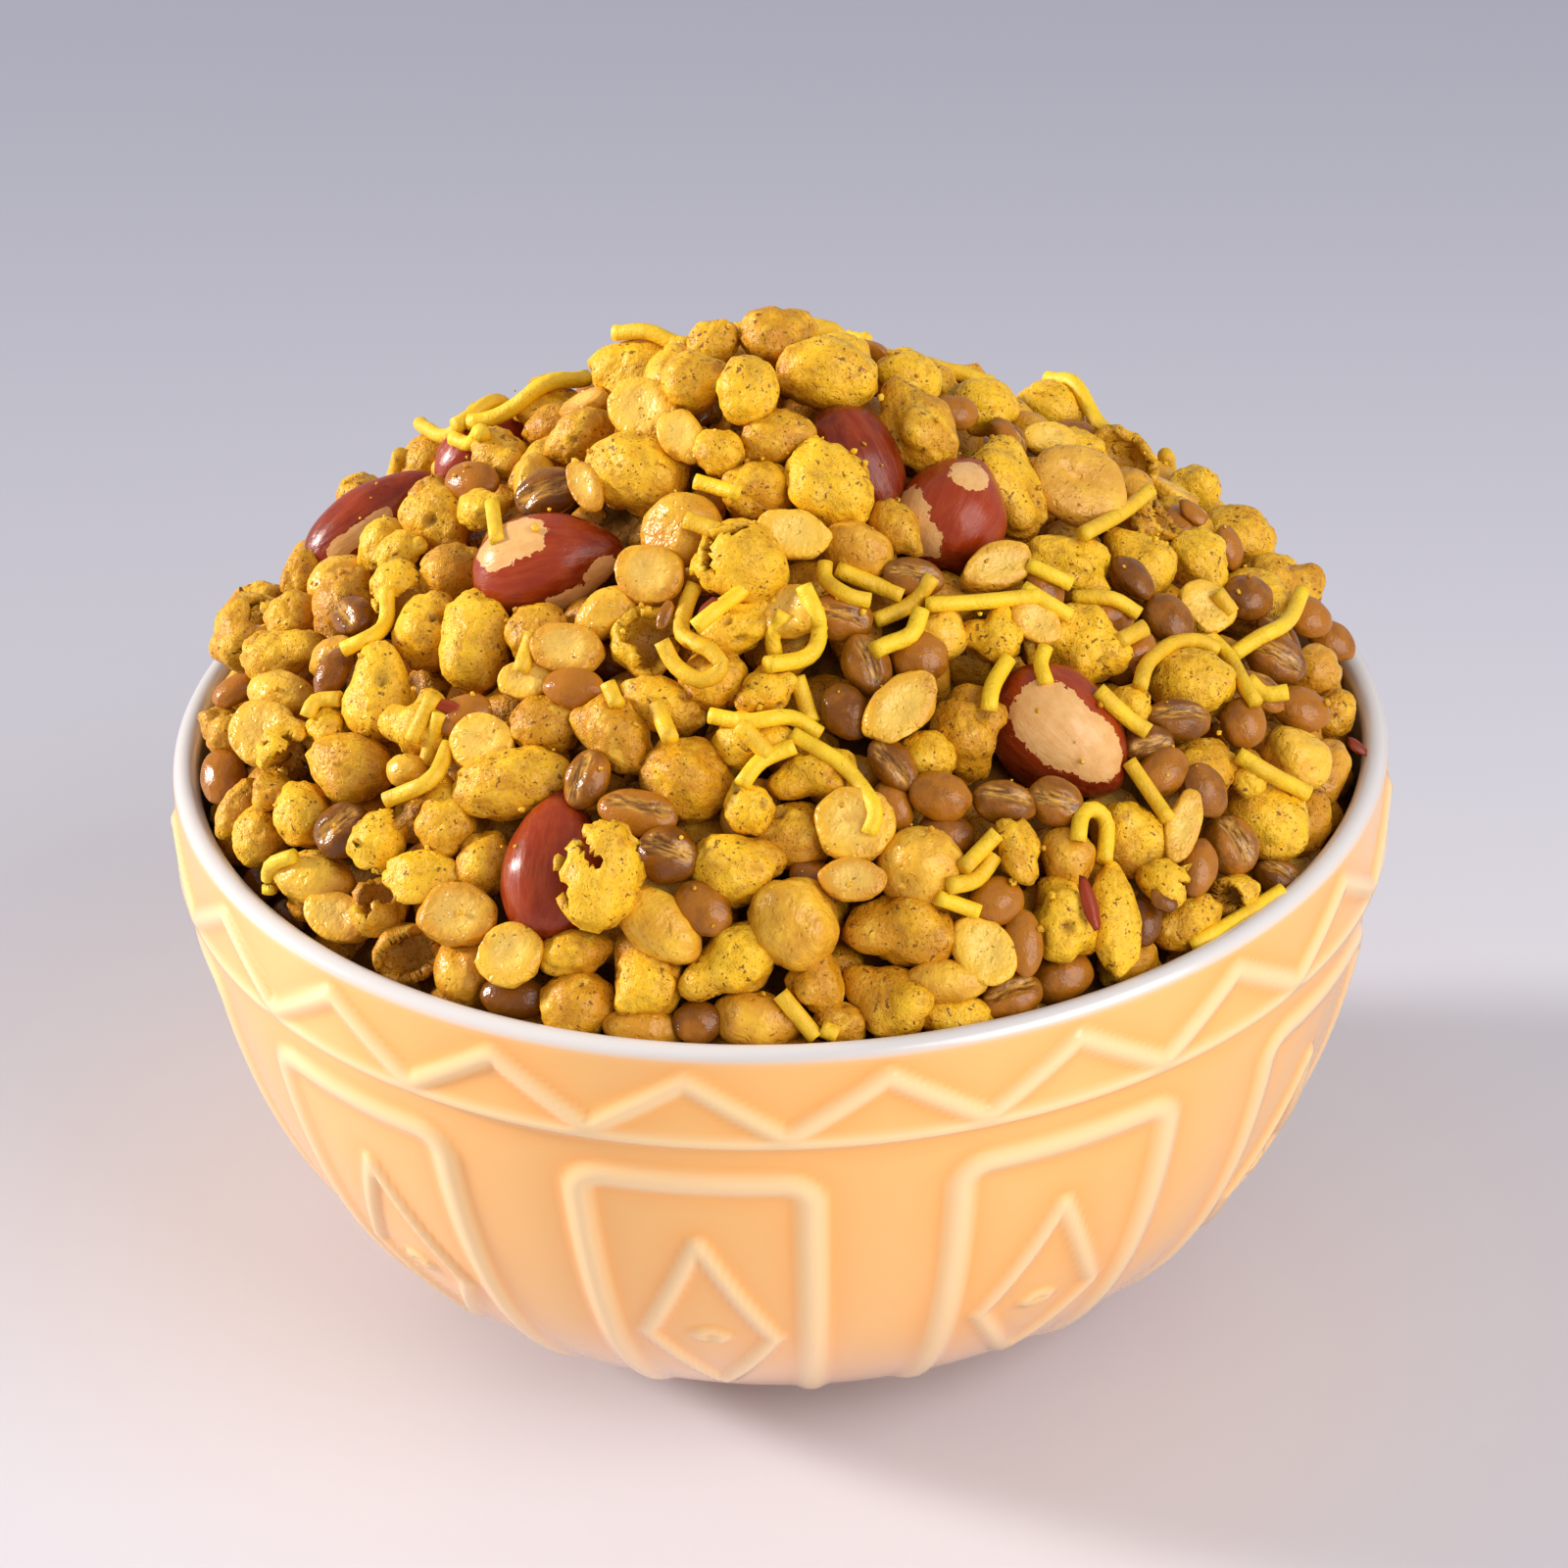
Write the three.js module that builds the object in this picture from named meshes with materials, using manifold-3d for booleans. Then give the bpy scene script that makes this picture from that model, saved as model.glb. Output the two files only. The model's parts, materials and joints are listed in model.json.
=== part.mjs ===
// Small glazed ceramic bowl heaped with a savoury snack mix of fried gram-flour drops,
// peanuts, split gram, brown lentils and thin gram-flour noodles.
// Millimetres, +Z up. The origin is the middle of the foot, on the surface the bowl stands on.
// A turn of 0 degrees faces the front (-Y) and grows towards the right (+X).

import * as THREE from 'three';
import { mergeVertices } from 'three/addons/utils/BufferGeometryUtils.js';
import Module from 'manifold-3d';

const wasm = await Module();
wasm.setup();

// ---------------------------------------------------------------- driving dimensions

const bowl = {
  rimRadius: 70,          // outside, at the top of the coloured glaze
  rimHeight: 67.4,        // top of the coloured glaze
  lipHeight: 68.2,        // top of the white lip
  wall: 3,
  floorTop: 5.3,          // inside floor at the middle
  footRadius: 32.5,
  footInner: 28.5,
  footRecess: 1.8,        // depth of the hollow under the foot
  bodyStart: 2.7,         // height where the belly leaves the foot
  ledgeHeight: 56,        // lower edge of the zigzag band
  ledgeStep: 0.5,
  segments: 40,
  segmentTurn: -0.4,      // turn of the first facet edge, degrees
};

// The belly follows r = rimRadius (1 - ((rimHeight - z) / depth)^rise)^(1 / swell).
const belly = { depth: 67.7, rise: 1.764, swell: 3.735 };

const ornament = {
  panels: 10,
  firstPanel: -9.4,       // turn of the panel nearest the front, degrees
  proud: 0.7,             // height of the relief
  rooted: 0.9,            // depth to which it is set into the wall
  bedded: 0.25,           // depth of the feet of its flanks
  frameWidth: 2.6,
  frameHalf: 11,          // half width of a panel's frame, degrees
  frameTop: 50.4,
  frameFoot: 6.5,
  frameCorner: 3.2,       // radius of the frame's upper corners
  diamondWidth: 1.7,
  diamondTop: 41,
  diamondWaist: 24.4,
  diamondFoot: 12.8,
  diamondHalf: 6.9,       // half width of a diamond, degrees
  zigzagWidth: 1.9,
  zigzagTop: 64.4,
  zigzagFoot: 58,
};

const gap = 0.3;          // between the bowl's inside and the mix

// The outside of the heap is a blunt cone that turns down at the wall.
const heap = {
  crown: 52,              // height of its top above the rim
  slope: 0.71,
  blunt: 8,
  edgeRadius: 67,
  edgeDrop: 8,
  edgeSharpness: 14,
  coreDepth: 4.6,         // from the heap's outside down to the plain core
  coreSegments: 20,
  seed: 2026,
  choices: 14,            // places looked at for each piece, of which the emptiest is taken
};

// Pieces that stand out: plan place x, y, turn of the long side, length and width.
const peanuts = [
  [-47, 24, 30, 18, 9], [-25, -16, -4, 19, 11.5], [20, -12, -70, 14, 12.5],
  [9, -11.5, -60, 16, 10.5], [31, -35.5, -47, 17, 13], [-25, -49, -101, 17, 10.5],
  [-34, 32, 50, 15, 10], [-12, 44, 20, 16, 11], [28, 38, -35, 17, 11],
  [52, 16, 80, 15, 10.5], [2, 27, 120, 16, 10.5], [-57, 2, 75, 15, 10],
];
const peanutHalves = [[35, 7.6, 10, 12, 10.5]];
const puffs = [
  [1, 8, 20, 9.5, 8.5], [-14, -10, -25, 11.5, 9.5], [6.7, 0.4, -10, 11.3, 8.6],
  [-9.3, 1.9, 0, 8.4, 8], [-2.2, -4.8, 80, 8.2, 7.2], [-14.5, 16, 15, 12, 9.5],
  [14, 4, 95, 9, 8], [15.5, -3.5, 80, 9.5, 8.6], [6.2, -16, 60, 11, 9.6],
  [-10.8, -19.4, 0, 9.3, 9], [-49.5, 3, 80, 10, 8.6], [-44.8, -19, 100, 11.5, 9.5],
  [-48, -28, 10, 10, 8.6], [-38.6, -15, 100, 11, 8.4], [-29, -39.5, 15, 14, 8.4],
  [-18.8, -38.6, -50, 10.5, 8], [-10.3, -44.3, -20, 11, 8.6], [29, -2.8, 60, 13, 10.5],
  [-18.5, -52, 80, 11, 9], [-33, -24, 100, 13, 8.2], [24, 12, 0, 10, 8.5],
  [13, -56, 0, 11.5, 8.6], [24, -51, 70, 11, 7.5], [46, 12, 40, 9.5, 8],
];
const splitGram = [
  [-23, -28, -10, 9, 6.5], [13.4, -38.4, 40, 9, 6.6], [14.5, -54, 10, 9.5, 8.6],
  [1, -58, 80, 9.5, 8], [-13, -58, -50, 10, 6], [-35, -54, 30, 8, 7],
  [-4.7, -62, 0, 8.5, 5.5], [8, -51, 0, 9, 7.5], [-52, -37, 0, 9, 6],
];
const lentils = [
  [7, -39, -50, 6.5, 5.5], [17.2, -47, -10, 6.6, 5.6], [15.7, -33, 0, 6.4, 5.8],
  [-34.6, 11.3, 0, 7, 5.2], [-23, -33.3, 0, 6.8, 4.8], [-35, -31.7, 40, 6.6, 5],
  [43.7, -14, -30, 6.4, 5.4], [53.7, 1.5, 0, 6.4, 5.6], [56.3, -8.7, -20, 7, 5.6],
  [58.7, -14.4, -20, 6.8, 5.8], [52.5, -22.6, 90, 6.2, 5.4], [41.8, -35.8, 0, 6.6, 5.2],
  [45, -43.6, 90, 6.4, 5], [49, -39, 60, 6.6, 5.6], [-12.6, -52.3, 0, 6.6, 5.8],
];
// Noodles: plan place of the middle, turn, length, and how far the strand bends round.
const noodleRadius = 1.05;
const noodles = [
  [-45, -13, -130, 11, -100], [-3, -29, -120, 11, -60], [-10, -37, -60, 21, 200],
  [0, -36, -100, 21, 210], [6, -29, -30, 9, 70], [14, -28, -10, 12, 0],
  [23, -25, 25, 14, 10], [15, -29, 45, 11, 30], [35, -20, 20, 13, -30],
  [39, -7, 38, 11, 10], [55, -13, 50, 15, 30], [45, -21, 50, 16, -120],
  [53, -20, -15, 16, 90], [24, -35, -115, 8, 15], [39, -32, -35, 8, 0],
  [-1, -42, -10, 13, 25], [7, -47, -50, 16, -60], [-40, -37, -155, 10, -60],
  [34, -46, 0, 10, -190], [55, -28, 25, 11, 0], [50, -43, 50, 11, 0],
];
// The rest of each kind, laid by the rule below: how many, least and greatest length,
// width and thickness as shares of the length.
const fill = {
  puff: { count: 50, least: 8, most: 11, width: 0.86, thick: 0.84 },
  gram: { count: 8, least: 7, most: 9, width: 0.82, thick: 0.6 },
  lentil: { count: 6, least: 5.6, most: 6.8, width: 0.86, thick: 0.62 },
  noodle: { count: 4, least: 10, most: 15 },
};
// Pieces that lie along the wall, their middles a little over the rim.
const rimRow = { kinds: ['puff', 'gram', 'puff', 'lentil'], count: 28, over: 2, jitter: 3 };

// ---------------------------------------------------------------- solids

const degrees = Math.PI / 180;
const joinTolerance = 0.03;

function solid(geometry) {
  geometry.deleteAttribute('normal');
  geometry.deleteAttribute('uv');
  const merged = mergeVertices(geometry, 1e-4);
  const mesh = new wasm.Mesh({
    numProp: 3,
    vertProperties: new Float32Array(merged.attributes.position.array),
    triVerts: new Uint32Array(merged.index.array),
    tolerance: joinTolerance,
  });
  return new wasm.Manifold(mesh);
}

function geometryOf(manifold) {
  const { vertProperties, triVerts } = manifold.getMesh();
  const geometry = new THREE.BufferGeometry();
  geometry.setAttribute('position', new THREE.BufferAttribute(vertProperties, 3));
  geometry.setIndex(new THREE.BufferAttribute(triVerts, 1));
  geometry.computeVertexNormals();
  return geometry;
}

function turned(profile, segments) {
  const points = profile.map(([radius, height]) => new THREE.Vector2(radius, height));
  const lathe = new THREE.LatheGeometry(points, segments, bowl.segmentTurn * degrees);
  return solid(lathe.rotateX(Math.PI / 2));
}

function reshape(geometry, move) {
  const position = geometry.attributes.position;
  const point = new THREE.Vector3();
  for (let i = 0; i < position.count; i += 1) {
    move(point.fromBufferAttribute(position, i));
    position.setXYZ(i, point.x, point.y, point.z);
  }
  return geometry;
}

// ---------------------------------------------------------------- the bowl

function bellyRadius(height) {
  const share = Math.max(0, bowl.rimHeight - height) / belly.depth;
  return bowl.rimRadius * (1 - share ** belly.rise) ** (1 / belly.swell);
}

// The belly's profile has its points where the ornament has its corners.
const bellyHeights = [
  bowl.bodyStart, ornament.frameFoot, ornament.diamondFoot, ornament.diamondWaist,
  ornament.diamondTop, bowl.ledgeHeight - 0.5,
];

// Radius of the straight-sided profile: the band above the ledge, the belly below it.
function profileRadius(height) {
  if (height > bowl.ledgeHeight) return bowl.rimRadius;
  const below = bellyHeights.filter((row) => row < height).length;
  const top = THREE.MathUtils.clamp(below, 1, bellyHeights.length - 1);
  const [low, high] = [bellyHeights[top - 1], bellyHeights[top]];
  return THREE.MathUtils.mapLinear(height, low, high, bellyRadius(low), bellyRadius(high));
}

// Point of the faceted wall at a turn and height, moved outwards along its normal.
function wallPoint(turn, height, out) {
  const step = 0.2;
  const lean = (profileRadius(height + step) - profileRadius(height - step)) / (2 * step);
  const length = Math.hypot(1, lean);
  const facet = 360 / bowl.segments;
  const share = THREE.MathUtils.euclideanModulo(turn - bowl.segmentTurn, facet) / facet;
  const inset = Math.cos(facet * 0.5 * degrees) / Math.cos(facet * (share - 0.5) * degrees);
  const radius = profileRadius(height) * inset + out / length;
  const z = height - (out * lean) / length;
  const angle = turn * degrees;
  return new THREE.Vector3(radius * Math.sin(angle), -radius * Math.cos(angle), z);
}

// The inside wall, a wall's thickness in from every second row of the belly, shrunk
// further by clear.
function insideProfile(clear) {
  return bellyHeights.filter((_, i) => i % 2 === 1).map((height) => {
    const point = wallPoint(bowl.segmentTurn, height, -bowl.wall - clear);
    return [Math.hypot(point.x, point.y), point.z];
  });
}

function bowlProfile() {
  const { rimRadius, rimHeight, lipHeight, wall, ledgeHeight, ledgeStep } = bowl;
  const { footRadius, footInner, footRecess, floorTop } = bowl;
  const middle = rimRadius - wall / 2;
  return [
    [0, footRecess],
    [footInner - footRecess / 2, footRecess],
    [footInner, 0],
    [footRadius, 0],
    [footRadius + 1.2, bowl.bodyStart * 0.6],
    ...bellyHeights.map((height) => [bellyRadius(height), height]),
    [rimRadius - ledgeStep * 0.3, ledgeHeight + ledgeStep],
    [rimRadius, rimHeight - 0.8],
    [rimRadius - 0.5, lipHeight - 0.3],
    [middle, lipHeight],
    [rimRadius - wall + 0.5, lipHeight - 0.3],
    [rimRadius - wall, rimHeight - 0.8],
    ...insideProfile(0).reverse(),
    [0, floorTop],
  ];
}

// Where a ridge's section lies: its crest stands proud and its flanks reach into the wall.
function sectionOut(z) {
  if (z > 0.5) return ornament.proud;
  return z < -0.5 ? -ornament.rooted : -ornament.bedded;
}

// A ridge with a crest and two flanks that follows a line on the wall, given by turn and
// height. The geometry is a four-sided rod whose stations are moved onto the line.
function ridge(line, width) {
  const last = line.length - 1;
  const rod = new THREE.CylinderGeometry(1, 1, 1, 4, last);
  return solid(reshape(rod, (point) => {
    const index = Math.round((point.y + 0.5) * last);
    const [turn, height] = line[index];
    const before = line[Math.max(0, index - 1)];
    const after = line[Math.min(last, index + 1)];
    const radius = profileRadius(height);
    const along = new THREE.Vector2(
      (after[0] - before[0]) * degrees * radius, after[1] - before[1]).normalize();
    const across = (point.x * width) / 2;
    point.copy(wallPoint(
      turn + (across * along.y) / radius / degrees,
      height - across * along.x,
      sectionOut(point.z)));
  }));
}

// Up one side of a panel, over the top with its corners cut, and down the other side.
function frameLine(middle) {
  const { frameHalf, frameTop, frameCorner } = ornament;
  const corner = frameCorner / bowl.rimRadius / degrees;
  const heights = [...bellyHeights.slice(1, -1), frameTop - frameCorner];
  const half = (side) => [
    ...heights.map((height) => [middle + side * frameHalf, height]),
    [middle + side * (frameHalf - corner), frameTop],
  ];
  return [...half(-1), [middle, frameTop], ...half(1).reverse()];
}

// A four-cornered ring on the wall: its tall upper and short lower half meet at the waist.
function diamond(middle) {
  const { diamondTop, diamondWaist, diamondFoot, diamondHalf, diamondWidth } = ornament;
  const ring = new THREE.TorusGeometry(1, 0.1, 4, 4);
  return solid(reshape(ring, (point) => {
    const side = Math.hypot(point.x, point.y) - 1;
    const reach = Math.abs(side) > 0.05 ? Math.sign(side) * diamondWidth * 0.6 : 0;
    const east = Math.sign(Math.round(point.x));
    const north = Math.sign(Math.round(point.y));
    const tall = north > 0 ? diamondTop : diamondFoot;
    const height = diamondWaist + Math.abs(north) * (tall - diamondWaist) + north * reach * 1.8;
    const turn = middle + east * (diamondHalf + reach / profileRadius(height) / degrees);
    point.copy(wallPoint(turn, height, sectionOut(point.z * 10)));
  }));
}

// A ring round the band, high over every panel and half-way between, low elsewhere.
function zigzag() {
  const { panels, firstPanel, zigzagTop, zigzagFoot, zigzagWidth } = ornament;
  const corners = 4 * panels;
  const ring = new THREE.TorusGeometry(1, 0.1, 4, corners);
  return solid(reshape(ring, (point) => {
    const side = Math.hypot(point.x, point.y) - 1;
    const share = Math.atan2(point.y, point.x) / (2 * Math.PI);
    const corner = Math.round(share * corners);
    const middle = corner % 2 === 0 ? zigzagTop : zigzagFoot;
    const height = middle + (Math.abs(side) > 0.05 ? Math.sign(side) * zigzagWidth * 0.66 : 0);
    const turn = firstPanel - (360 / corners) * corner;
    point.copy(wallPoint(turn, height, sectionOut(point.z * 10)));
  }));
}

function bowlSolid() {
  const pieces = [turned(bowlProfile(), bowl.segments), zigzag()];
  for (let panel = 0; panel < ornament.panels; panel += 1) {
    const middle = ornament.firstPanel + (360 / ornament.panels) * panel;
    pieces.push(ridge(frameLine(middle), ornament.frameWidth));
    pieces.push(diamond(middle));
  }
  return wasm.Manifold.union(pieces);
}

// ---------------------------------------------------------------- the heap

let drawn = heap.seed;

// A repeatable draw between two numbers.
function draw(least, most) {
  drawn = (drawn * 48271) % 2147483647;
  return least + ((most - least) * drawn) / 2147483647;
}

function heapHeight(radius) {
  const { crown, slope, blunt, edgeDrop, edgeRadius, edgeSharpness } = heap;
  const cone = crown - slope * (Math.hypot(radius, blunt) - blunt);
  return bowl.rimHeight + cone - edgeDrop * (radius / edgeRadius) ** edgeSharpness;
}

function heapPoint(x, y, sink) {
  return new THREE.Vector3(x, y, heapHeight(Math.hypot(x, y)) - sink);
}

function heapNormal(x, y) {
  const radius = Math.hypot(x, y);
  const fall = (heap.slope * radius) / Math.hypot(radius, heap.blunt);
  return new THREE.Vector3(x * fall, y * fall, radius).normalize();
}

// Long side along X, up along Z. A pointed piece narrows towards +X, a flat one has its
// top pressed level.
function bean(length, width, thick, { rings = 0, point = 0, lump = 0, flat = 0 }) {
  const ball = rings > 0
    ? new THREE.SphereGeometry(0.5, rings + 2, rings).rotateZ(Math.PI / 2)
    : new THREE.IcosahedronGeometry(0.56, 0);
  const phase = draw(0, 6);
  return reshape(ball, (at) => {
    const taper = 1 - point * (at.x + 0.5) ** 2;
    const swell = 1 + lump * Math.sin(7 * at.x + phase) * Math.cos(6 * at.y + phase);
    const top = flat > 0 ? Math.min(at.z, 0.5 * (1 - flat)) : at.z;
    at.set(at.x * length, at.y * width * taper * swell, top * thick * taper * swell);
  });
}

const laid = [];

// A low piece stays inside the wall, a high one may hang over the lip.
function insideWall(x, y, reach) {
  const radius = Math.hypot(x, y);
  const inside = bowl.rimRadius - bowl.wall - gap;
  const overLip = heapHeight(Math.min(radius, inside)) > bowl.lipHeight + 2 * reach;
  const limit = (overLip ? bowl.rimRadius : inside) - gap - reach;
  const share = radius > limit ? limit / radius : 1;
  return [x * share, y * share];
}

// Of a few drawn places, the one furthest from what is already laid.
function emptiestPlace(reach) {
  let best = { room: -Infinity };
  for (let i = 0; i < heap.choices; i += 1) {
    const angle = draw(0, 2 * Math.PI);
    const radius = heap.edgeRadius * Math.sqrt(draw(0, 1));
    const [x, y] = insideWall(radius * Math.cos(angle), radius * Math.sin(angle), reach);
    const here = heapPoint(x, y, 0);
    const room = Math.min(...laid.map((piece) => piece.place.distanceTo(here) - piece.reach));
    if (room > best.room) best = { x, y, room };
  }
  return best;
}

function lay(shape, x, y, turn, reach, sink, tilt = 0) {
  const up = heapNormal(x, y);
  const across = new THREE.Vector3(-Math.sin(turn * degrees), Math.cos(turn * degrees), 0);
  const along = new THREE.Vector3().crossVectors(across, up).normalize();
  const side = new THREE.Vector3().crossVectors(up, along);
  const frame = new THREE.Matrix4().makeBasis(along, side, up);
  frame.multiply(new THREE.Matrix4().makeRotationY(tilt * degrees));
  frame.setPosition(heapPoint(x, y, sink));
  laid.push({ place: heapPoint(x, y, 0), reach });
  return solid(shape.applyMatrix4(frame));
}

const shapes = {
  peanut: (length, width) =>
    bean(length, width, width * 0.96, { rings: 6, point: 0.12 }),
  half: (length, width) =>
    bean(length, width, width * 0.6, { rings: 5, flat: 0.5 }),
  puff: (length, width, thick) =>
    bean(length, width, thick, { point: draw(0, 0.35), lump: 0.1 }),
  gram: (length, width, thick) =>
    bean(length, width, thick, { lump: 0.04 }),
  lentil: (length, width, thick) => bean(length, width, thick, {}),
};

function placed(kind, rows, thickShare) {
  return rows.map(([fromX, fromY, turn, length, width]) => {
    const thick = width * thickShare;
    const reach = (length + width) / 4;
    const [x, y] = insideWall(fromX, fromY, length / 2);
    return lay(shapes[kind](length, width, thick), x, y, turn, reach, thick * 0.5);
  });
}

function scattered(kind) {
  const { count, least, most, width, thick } = fill[kind];
  return Array.from({ length: count }, () => {
    const length = draw(least, most);
    const { x, y } = emptiestPlace(length / 2);
    const turn = draw(0, 360);
    const tilt = draw(-25, 25);
    const sink = length * thick * 0.5 + draw(-1.2, 1);
    const shape = shapes[kind](length, length * width, length * thick);
    return lay(shape, x, y, turn, (length * (1 + width)) / 4, sink, tilt);
  });
}

function alongWall() {
  return Array.from({ length: rimRow.count }, (_, i) => {
    const kind = rimRow.kinds[i % rimRow.kinds.length];
    const { least, most, width, thick } = fill[kind];
    const length = draw(least, most);
    const turn = (360 / rimRow.count) * i + draw(-rimRow.jitter, rimRow.jitter);
    const radius = bowl.rimRadius - bowl.wall - gap - (length * width) / 2;
    const [x, y] = [radius * Math.cos(turn * degrees), radius * Math.sin(turn * degrees)];
    const sink = heapHeight(radius) - bowl.rimHeight - rimRow.over + draw(-1, 1);
    const shape = shapes[kind](length, length * width, length * thick);
    return lay(shape, x, y, turn + 90, (length * (1 + width)) / 4, sink);
  });
}

// A strand bent to an arc that lies on the heap, its ends dipping between the pieces.
function noodle([x, y, turn, length, bend]) {
  const stations = 5;
  const path = [];
  let heading = (turn - bend / 2) * degrees;
  const step = length / (stations - 1) / Math.hypot(1, heap.slope * 0.6);
  const place = new THREE.Vector2(0, 0);
  for (let i = 0; i < stations; i += 1) {
    path.push(place.clone());
    heading += (bend * degrees) / (stations - 1);
    place.add(new THREE.Vector2(Math.cos(heading), Math.sin(heading)).multiplyScalar(step));
  }
  const middle = path.reduce((sum, point) => sum.add(point), new THREE.Vector2());
  middle.divideScalar(stations);
  const limit = bowl.rimRadius - bowl.wall - gap * 2 - noodleRadius;
  const route = path.map((point, i) => {
    const end = i === 0 || i === stations - 1;
    const flat = point.clone().sub(middle).add(new THREE.Vector2(x, y)).clampLength(0, limit);
    return heapPoint(flat.x, flat.y, noodleRadius + (end ? 2.2 : 0.7));
  });
  const section = new THREE.Shape();
  for (let i = 0; i < 5; i += 1) {
    const angle = (i * 2 * Math.PI) / 5;
    section[i === 0 ? 'moveTo' : 'lineTo'](
      noodleRadius * Math.cos(angle), noodleRadius * Math.sin(angle));
  }
  return solid(new THREE.ExtrudeGeometry(section, {
    steps: length > 12 ? 5 : 3,
    bevelEnabled: false,
    extrudePath: new THREE.CatmullRomCurve3(route),
  }));
}

function looseNoodles() {
  const { count, least, most } = fill.noodle;
  return Array.from({ length: count }, () => {
    const angle = draw(0, Math.PI);
    const radius = 60 * Math.sqrt(draw(0, 1));
    const turn = draw(0, 360);
    return noodle([
      radius * Math.cos(angle), radius * Math.sin(angle), turn,
      draw(least, most), draw(-120, 120),
    ]);
  });
}

function coreProfile() {
  const edge = bowl.rimRadius - bowl.wall - gap;
  const radii = [1, 0.94, 0.84, 0.7, 0.52, 0.34, 0.17, 0.06];
  return [
    [0, bowl.floorTop + gap],
    ...insideProfile(gap),
    ...radii.map((share) => [share * edge, heapHeight(share * edge) - heap.coreDepth]),
    [0, heapHeight(0) - heap.coreDepth],
  ];
}

// The bowl's lip with the gap round it, which pieces that hang over it are cut to.
function lipSpace() {
  const inner = bowl.rimRadius - bowl.wall - gap;
  const outer = bowl.rimRadius + gap * 4;
  const [top, shoulder, bottom] = [bowl.lipHeight + gap, bowl.rimHeight, bowl.ledgeHeight];
  return turned([
    [inner, bottom], [outer, bottom], [outer, shoulder], [outer - 1, top], [inner + 0.8, top],
    [inner, shoulder], [inner, bottom],
  ], bowl.segments);
}

function heapSolid() {
  const pieces = [
    turned(coreProfile(), heap.coreSegments),
    ...placed('peanut', peanuts, 0.96),
    ...placed('half', peanutHalves, 0.6),
    ...placed('puff', puffs, 0.94),
    ...placed('gram', splitGram, 0.7),
    ...placed('lentil', lentils, 0.7),
    ...alongWall(),
    ...scattered('puff'),
    ...scattered('gram'),
    ...scattered('lentil'),
    ...noodles.map(noodle),
    ...looseNoodles(),
  ];
  const bodies = wasm.Manifold.union(pieces).subtract(lipSpace()).decompose();
  return bodies.reduce((kept, body) => (body.volume() > kept.volume() ? body : kept));
}

// ---------------------------------------------------------------- the part

function node(name, manifold, finish) {
  const mesh = new THREE.Mesh(geometryOf(manifold), new THREE.MeshStandardMaterial(finish));
  mesh.name = name;
  return mesh;
}

const part = new THREE.Group();
part.add(node('bowl', bowlSolid(), { color: 0xf6c98f, roughness: 0.25, metalness: 0 }));
part.add(node('snack_mix', heapSolid(), { color: 0xd8a52c, roughness: 0.7, metalness: 0 }));

export default part;
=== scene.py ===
"""Looks of a small glazed bowl heaped with a savoury snack mix.

Lengths in the shapes below are millimetres and become metres when a piece is finished.
A turn of 0 degrees faces the front (-Y) and grows towards the right (+X).
"""

import json
import math
import random

import bmesh
import bpy
import numpy as np
from bpy.props import (
    FloatProperty, FloatVectorProperty, IntProperty, PointerProperty,
)
from mathutils import Matrix, Vector, noise

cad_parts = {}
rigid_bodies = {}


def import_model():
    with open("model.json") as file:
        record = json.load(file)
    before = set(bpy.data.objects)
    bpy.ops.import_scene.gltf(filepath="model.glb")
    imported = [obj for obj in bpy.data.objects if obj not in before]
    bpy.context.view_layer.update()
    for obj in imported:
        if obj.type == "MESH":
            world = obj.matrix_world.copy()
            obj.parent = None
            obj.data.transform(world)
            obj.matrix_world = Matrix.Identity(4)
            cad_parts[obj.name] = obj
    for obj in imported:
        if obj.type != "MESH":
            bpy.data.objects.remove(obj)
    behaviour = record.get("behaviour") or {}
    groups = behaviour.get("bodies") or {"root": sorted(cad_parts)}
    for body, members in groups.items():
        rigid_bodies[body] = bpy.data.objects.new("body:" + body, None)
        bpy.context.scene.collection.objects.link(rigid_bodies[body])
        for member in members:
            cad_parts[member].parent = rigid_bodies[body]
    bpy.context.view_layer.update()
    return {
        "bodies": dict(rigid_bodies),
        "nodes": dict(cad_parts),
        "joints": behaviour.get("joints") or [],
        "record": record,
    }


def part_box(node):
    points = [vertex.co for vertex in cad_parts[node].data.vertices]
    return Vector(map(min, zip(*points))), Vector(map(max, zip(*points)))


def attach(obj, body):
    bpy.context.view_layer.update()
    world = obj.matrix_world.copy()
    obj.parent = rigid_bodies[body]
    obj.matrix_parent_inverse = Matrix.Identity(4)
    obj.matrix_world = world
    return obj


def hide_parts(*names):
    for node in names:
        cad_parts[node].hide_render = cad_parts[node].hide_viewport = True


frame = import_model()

bl_info = {
    "name": "Bowl of savoury snack mix",
    "version": (1, 0, 0),
    "blender": (4, 5, 0),
    "location": "View3D > Sidebar > Snack mix",
    "description": "Builds a glazed bowl with a raised pattern and the snack mix heaped in it",
    "category": "Object",
}

BODY = "root"
MM = 0.001

# ---------------------------------------------------------------- fixed sizes, millimetres

LIP_HEIGHT = round(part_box("bowl")[1].z / MM, 1)
MIX_FOOT = round(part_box("snack_mix")[0].z / MM, 1)
RIM_HEIGHT = 67.4          # top of the coloured glaze
RIM_RADIUS = 70.0
WALL = 3.0
FLOOR_TOP = 5.3
FLOOR_RADIUS = 26.0
FOOT_RADIUS = 32.5
FOOT_INNER = 28.5
FOOT_RECESS = 1.8
BODY_START = 2.7           # height where the belly leaves the foot
LEDGE_HEIGHT = 56.0        # lower edge of the zigzag band
LEDGE_SOFTNESS = 0.6       # how far below its edge the ledge starts
BELLY_DEPTH, BELLY_RISE, BELLY_SWELL = 67.7, 1.764, 3.735
MIX_GAP = 0.3              # between the mix and the wall
INSIDE = RIM_RADIUS - WALL - MIX_GAP

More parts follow.
